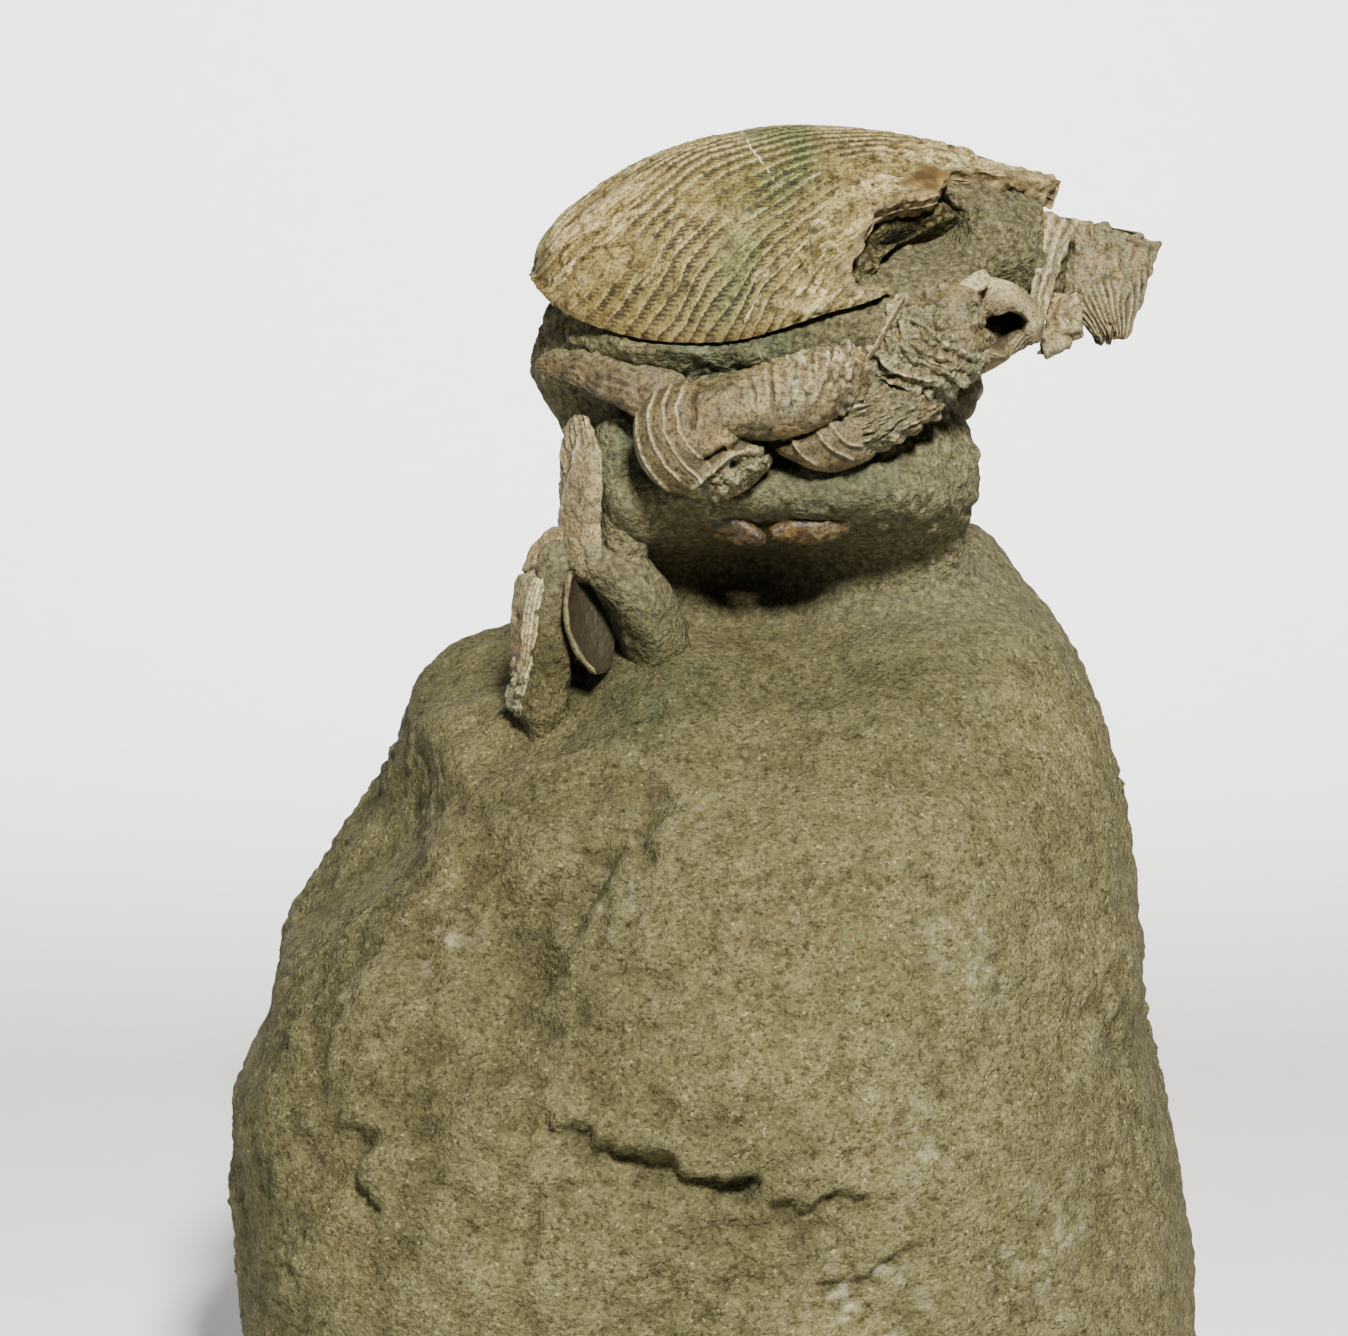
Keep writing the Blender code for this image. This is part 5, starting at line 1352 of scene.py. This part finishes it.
def terraced_cuticle():
    """Fossil crab shell: phosphate and calcite with a low sheen, its terrace edges finely toothed, with
    painted shade in the grooves and chalky where it has flaked."""
    made, tree, shader, place = new_material("terraced_fossil_cuticle", 0.7, 0.25, 1.55)
    count, along, flake = (add(tree, "ShaderNodeAttribute", attribute_name=name)["Fac"]
                           for name in ("terrace", "along", "flake"))
    turn = add(tree, "ShaderNodeMath", {0: along, 1: 2 * math.pi / TOOTH}, operation="MULTIPLY")[0]
    comb = add(tree, "ShaderNodeMath", {0: turn}, operation="SINE")[0]
    edge = add(tree, "ShaderNodeMath", {0: comb, 1: 0.03, 2: count}, operation="MULTIPLY_ADD")[0]
    part = add(tree, "ShaderNodeMath", {0: edge}, operation="FRACT")[0]
    # Painted shade: the ramp over each terrace darkens its foot and its drop, and keeps its crest pale.
    colour = add(tree, "ShaderNodeValToRGB", {"Fac": part}, [
        (0.0, "#46412a"), (0.05, "#5c5538"), (0.14, "#776f4d"), (0.5, "#857c58"), (0.80, "#8e8562"),
        (0.93, "#a1987a"), (0.985, "#6d6444"), (1.0, "#46412a")])["Color"]
    zone = add(tree, "ShaderNodeValToRGB", {"Fac": part}, [
        (0.04, "#000000"), (0.08, "#ffffff"), (0.32, "#d0d0d0"), (0.46, "#000000")])["Color"]
    tooth = add(tree, "ShaderNodeMapRange", {"Value": comb, "From Min": -1.0})["Result"]
    gaps = add(tree, "ShaderNodeValToRGB", {"Fac": tooth}, [(0.25, "#5f583c"), (0.6, "#ffffff")])["Color"]
    ticks = add(tree, "ShaderNodeMix", {SHARE: zone, UNDER: srgb("#ffffff"), OVER: gaps}, **BLEND)[MIXED]
    colour = add(tree, "ShaderNodeMix", {SHARE: 1.0, UNDER: colour, OVER: ticks}, **MULTIPLY)[MIXED]
    plain = patches(tree, place, 2.6, [(0.34, "#6a6143"), (0.46, "#847a57"), (0.56, "#938a68"),
                                       (0.68, "#a39a7c")], 6.0)
    colour = painted(tree, "worn", colour, plain)
    chalk = patches(tree, place, 0.7, [(0.34, "#8a8269"), (0.45, "#b0a890"), (0.6, "#c9c2ad")], 5.0)
    colour = shaded(tree, colour, flake, [(0.02, "#ffffff"), (0.2, "#8f886e"), (0.5, "#ffffff")])
    flaked = add(tree, "ShaderNodeMath", {0: flake, 1: 0.62}, operation="MULTIPLY")[0]
    colour = add(tree, "ShaderNodeMix", {SHARE: flaked, UNDER: colour, OVER: chalk}, **BLEND)[MIXED]
    colour = mottled(tree, colour, place, 9, [(0.36, "#d3cfae"), (0.5, "#f2eedd"), (0.64, "#fff5e0")])
    colour = mottled(tree, colour, place, 1.0, [(0.33, "#868062"), (0.45, "#ebe7d6"), (0.6, "#ffffff")], 5.0)
    colour = mottled(tree, colour, place, 0.3, [(0.36, "#a39c80"), (0.52, "#ffffff")], 3.0)
    # Painted shade in the clefts of the shell.
    colour = tinted(tree, "green", painted_cleft_shade(tree, colour), "#b4d0b8")
    rusty = patches(tree, place, 1.6, [(0.36, "#35260e"), (0.5, "#4b3816"), (0.64, "#655029")], 5.0)
    colour = painted(tree, "orange", colour, rusty)
    colour = with_line(tree, "vein", colour, "#b9b29c")
    colour = with_line(tree, "crack", colour, "#2c2515")
    brown = patches(tree, place, 1.2, [(0.36, "#3b311d"), (0.5, "#63563a"), (0.64, "#85764f")], 5.0)
    tree.links.new(painted(tree, "inside_of", colour, brown), shader.inputs["Base Color"])
    step = add(tree, "ShaderNodeValToRGB", {"Fac": part}, [
        (0.0, "#000000"), (0.12, "#606060"), (0.93, "#ffffff"), (1.0, "#000000")])["Color"]
    raise_surface(tree, shader, place, (step, 0.6, 0.12), (ticks, 0.5, 0.08), (0.9, 0.6, 0.3),
                  (0.35, 0.7, 0.14))
    return made


def chalky_cuticle(name, dark, mid, light, roughness=0.68):
    """Fossil limb shell: thinner and chalkier than the carapace, grey where it is whole and tan where it
    has weathered, pale on its ridges, with sand still stuck in its hollows."""
    made, tree, shader, place = new_material(name, roughness, 0.3, 1.55)
    colour = patches(tree, place, 1.8, [(0.34, dark), (0.5, mid), (0.66, light)], 6.0)
    colour = mottled(tree, colour, place, 4.0, [(0.38, "#d2d4c8"), (0.52, "#f4f1e6"), (0.64, "#fff3d6")])
    colour = tinted(tree, "tan", colour, "#f2d8a4")
    colour = mottled(tree, colour, place, 0.7, [(0.32, "#8b8468"), (0.44, "#e8e4d6"), (0.54, "#ffffff")], 5.0)
    colour = painted(tree, "ridge", colour, patches(tree, place, 0.6, [(0.35, "#938a6f"), (0.55, "#b3aa8e")]))
    sand, grain = sand_colour(tree, place)
    colour = painted(tree, "sand", colour, sand)
    colour = mottled(tree, colour, place, 0.28, [(0.36, "#a8a28c"), (0.52, "#ffffff")], 3.0)
    # Painted shade: darker in the clefts, and over the whole piece as far as its shade share says.
    colour = tinted(tree, "shade", painted_cleft_shade(tree, colour), "#bdb9a6")
    # Painted shade: the marked pits and hollows are painted near black.
    tree.links.new(painted(tree, "pit", colour, srgb("#262010")), shader.inputs["Base Color"])
    grit = add(tree, "ShaderNodeAttribute", attribute_name="sand")["Fac"]
    grain = add(tree, "ShaderNodeMath", {0: grain, 1: grit}, operation="MULTIPLY")[0]
    raise_surface(tree, shader, place, (0.9, 0.7, 0.3), (0.4, 0.7, 0.18), (grain, 0.8, 0.14))
    return made


def white_card():
    """Matt white card under the specimen."""
    made, tree, shader, place = new_material("matt_white_card", 0.9, 0.2)
    tree.links.new(patches(tree, place, 6, [(0.3, "#e9e9e8"), (0.7, "#ececeb")]),
                   shader.inputs["Base Color"])
    return made


# ---------------------------------------------------------------- stage
def camera():
    """The camera, level from side to side and looking down a little."""
    data = bpy.data.cameras.new("camera")
    made = in_scene("camera", data)
    down = math.radians(CAMERA_DOWN)
    away = Vector((0, -math.cos(down), math.sin(down))) * CAMERA_AWAY
    made.location = (Vector(CAMERA_AIM) + away) * MM
    made.rotation_euler = (math.pi / 2 - down, 0, 0)
    data.sensor_width = SENSOR
    data.lens = SENSOR * CAMERA_AWAY / FIELD_WIDTH
    data.clip_start = 0.01
    bpy.context.scene.camera = made


def lamp(name, place, size, power, colour="#ffffff", aim=(0, 0, 85)):
    """A square soft light. Places are in millimetres."""
    data = bpy.data.lights.new(name, "AREA")
    data.size = size * MM
    data.energy = power
    data.color = srgb(colour)[:3]
    made = in_scene(name, data)
    made.location = Vector(place) * MM
    made.rotation_euler = (Vector(aim) * MM - made.location).to_track_quat("-Z", "Y").to_euler()


def studio():
    """A key lamp above the camera, small enough for crisp shadows, a weak fill, and a card that sweeps up
    behind under a lamp of its own."""
    lamp("key", (70, -435, 430), 90, 13.0, "#fffcf6")
    lamp("fill", (-420, -380, 200), 400, 0.6, "#f8faff")
    lamp("backdrop", (0, 330, 520), 400, 14.0, aim=(0, 900, 330))
    world = bpy.data.worlds.new("studio")
    bpy.context.scene.world = world
    world.use_nodes = True
    back = world.node_tree.nodes["Background"]
    back.inputs["Color"].default_value = srgb("#f4f4f2")
    back.inputs["Strength"].default_value = 0.09
    run = [(-160, 0), (500, 0), *((500 + 400 * math.sin(a), 400 - 400 * math.cos(a))
                                  for a in np.linspace(0.1, math.pi / 2, 24)), (900, 1200)]
    corners = [(x * MM, y * MM, z * MM) for y, z in run for x in (-1100, 1100)]
    faces = [(2 * i, 2 * i + 1, 2 * i + 3, 2 * i + 2) for i in range(len(run) - 1)]
    mesh = bpy.data.meshes.new("card")
    mesh.from_pydata(corners, [], faces)
    mesh.shade_smooth()
    mesh.materials.append(white_card())
    card = in_scene("card", mesh)


# ---------------------------------------------------------------- the whole
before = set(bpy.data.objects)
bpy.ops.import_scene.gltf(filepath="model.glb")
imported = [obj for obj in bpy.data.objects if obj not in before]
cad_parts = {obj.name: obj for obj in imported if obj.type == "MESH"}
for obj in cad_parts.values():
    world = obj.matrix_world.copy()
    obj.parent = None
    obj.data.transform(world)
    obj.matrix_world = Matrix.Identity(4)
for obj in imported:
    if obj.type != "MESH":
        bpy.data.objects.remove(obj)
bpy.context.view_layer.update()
camera()
studio()

STONE = glauconitic_sandstone()
SHELL = terraced_cuticle()
LIMB = chalky_cuticle("chalky_fossil_cuticle", "#574f39", "#70674e", "#857c62")
AMBER = chalky_cuticle("amber_fossil_cuticle", "#33260f", "#4b3a1a", "#625029", 0.5)

stone(STONE)
carapace(SHELL)
for make in (claw_wrist, claw_arm, claw_hand, claw_shoulder, claw_socket, far_arm):
    make(LIMB)
for name, seed in (("side_plate", 150), ("far_side_plate", 155)):
    flank_plate(name, LIMB, seed)
for make in (leg_upper, leg_lower, leg_blade):
    make(LIMB)
for name, seed in (("belly_shell_left", 180), ("belly_shell_right", 185)):
    small_plate(name, 1.2, AMBER, "amber_shell", ribs=3, rib_height=0.05, rough=0.14, seed=seed, ridge=0,
                sandy=0.3, sunk=0.5)
small_plate("front_strip", 1.4, LIMB, "limb_shell", ribs=2.6, rib_height=0.3, rough=0.35, seed=190,
            ridge=0.6, sandy=0.35)
small_plate("front_lobe", 1.2, LIMB, "limb_shell", ribs=1, rib_height=0, rough=0.7, seed=195, ridge=0.4,
            sandy=0.6)
front_fan(LIMB)
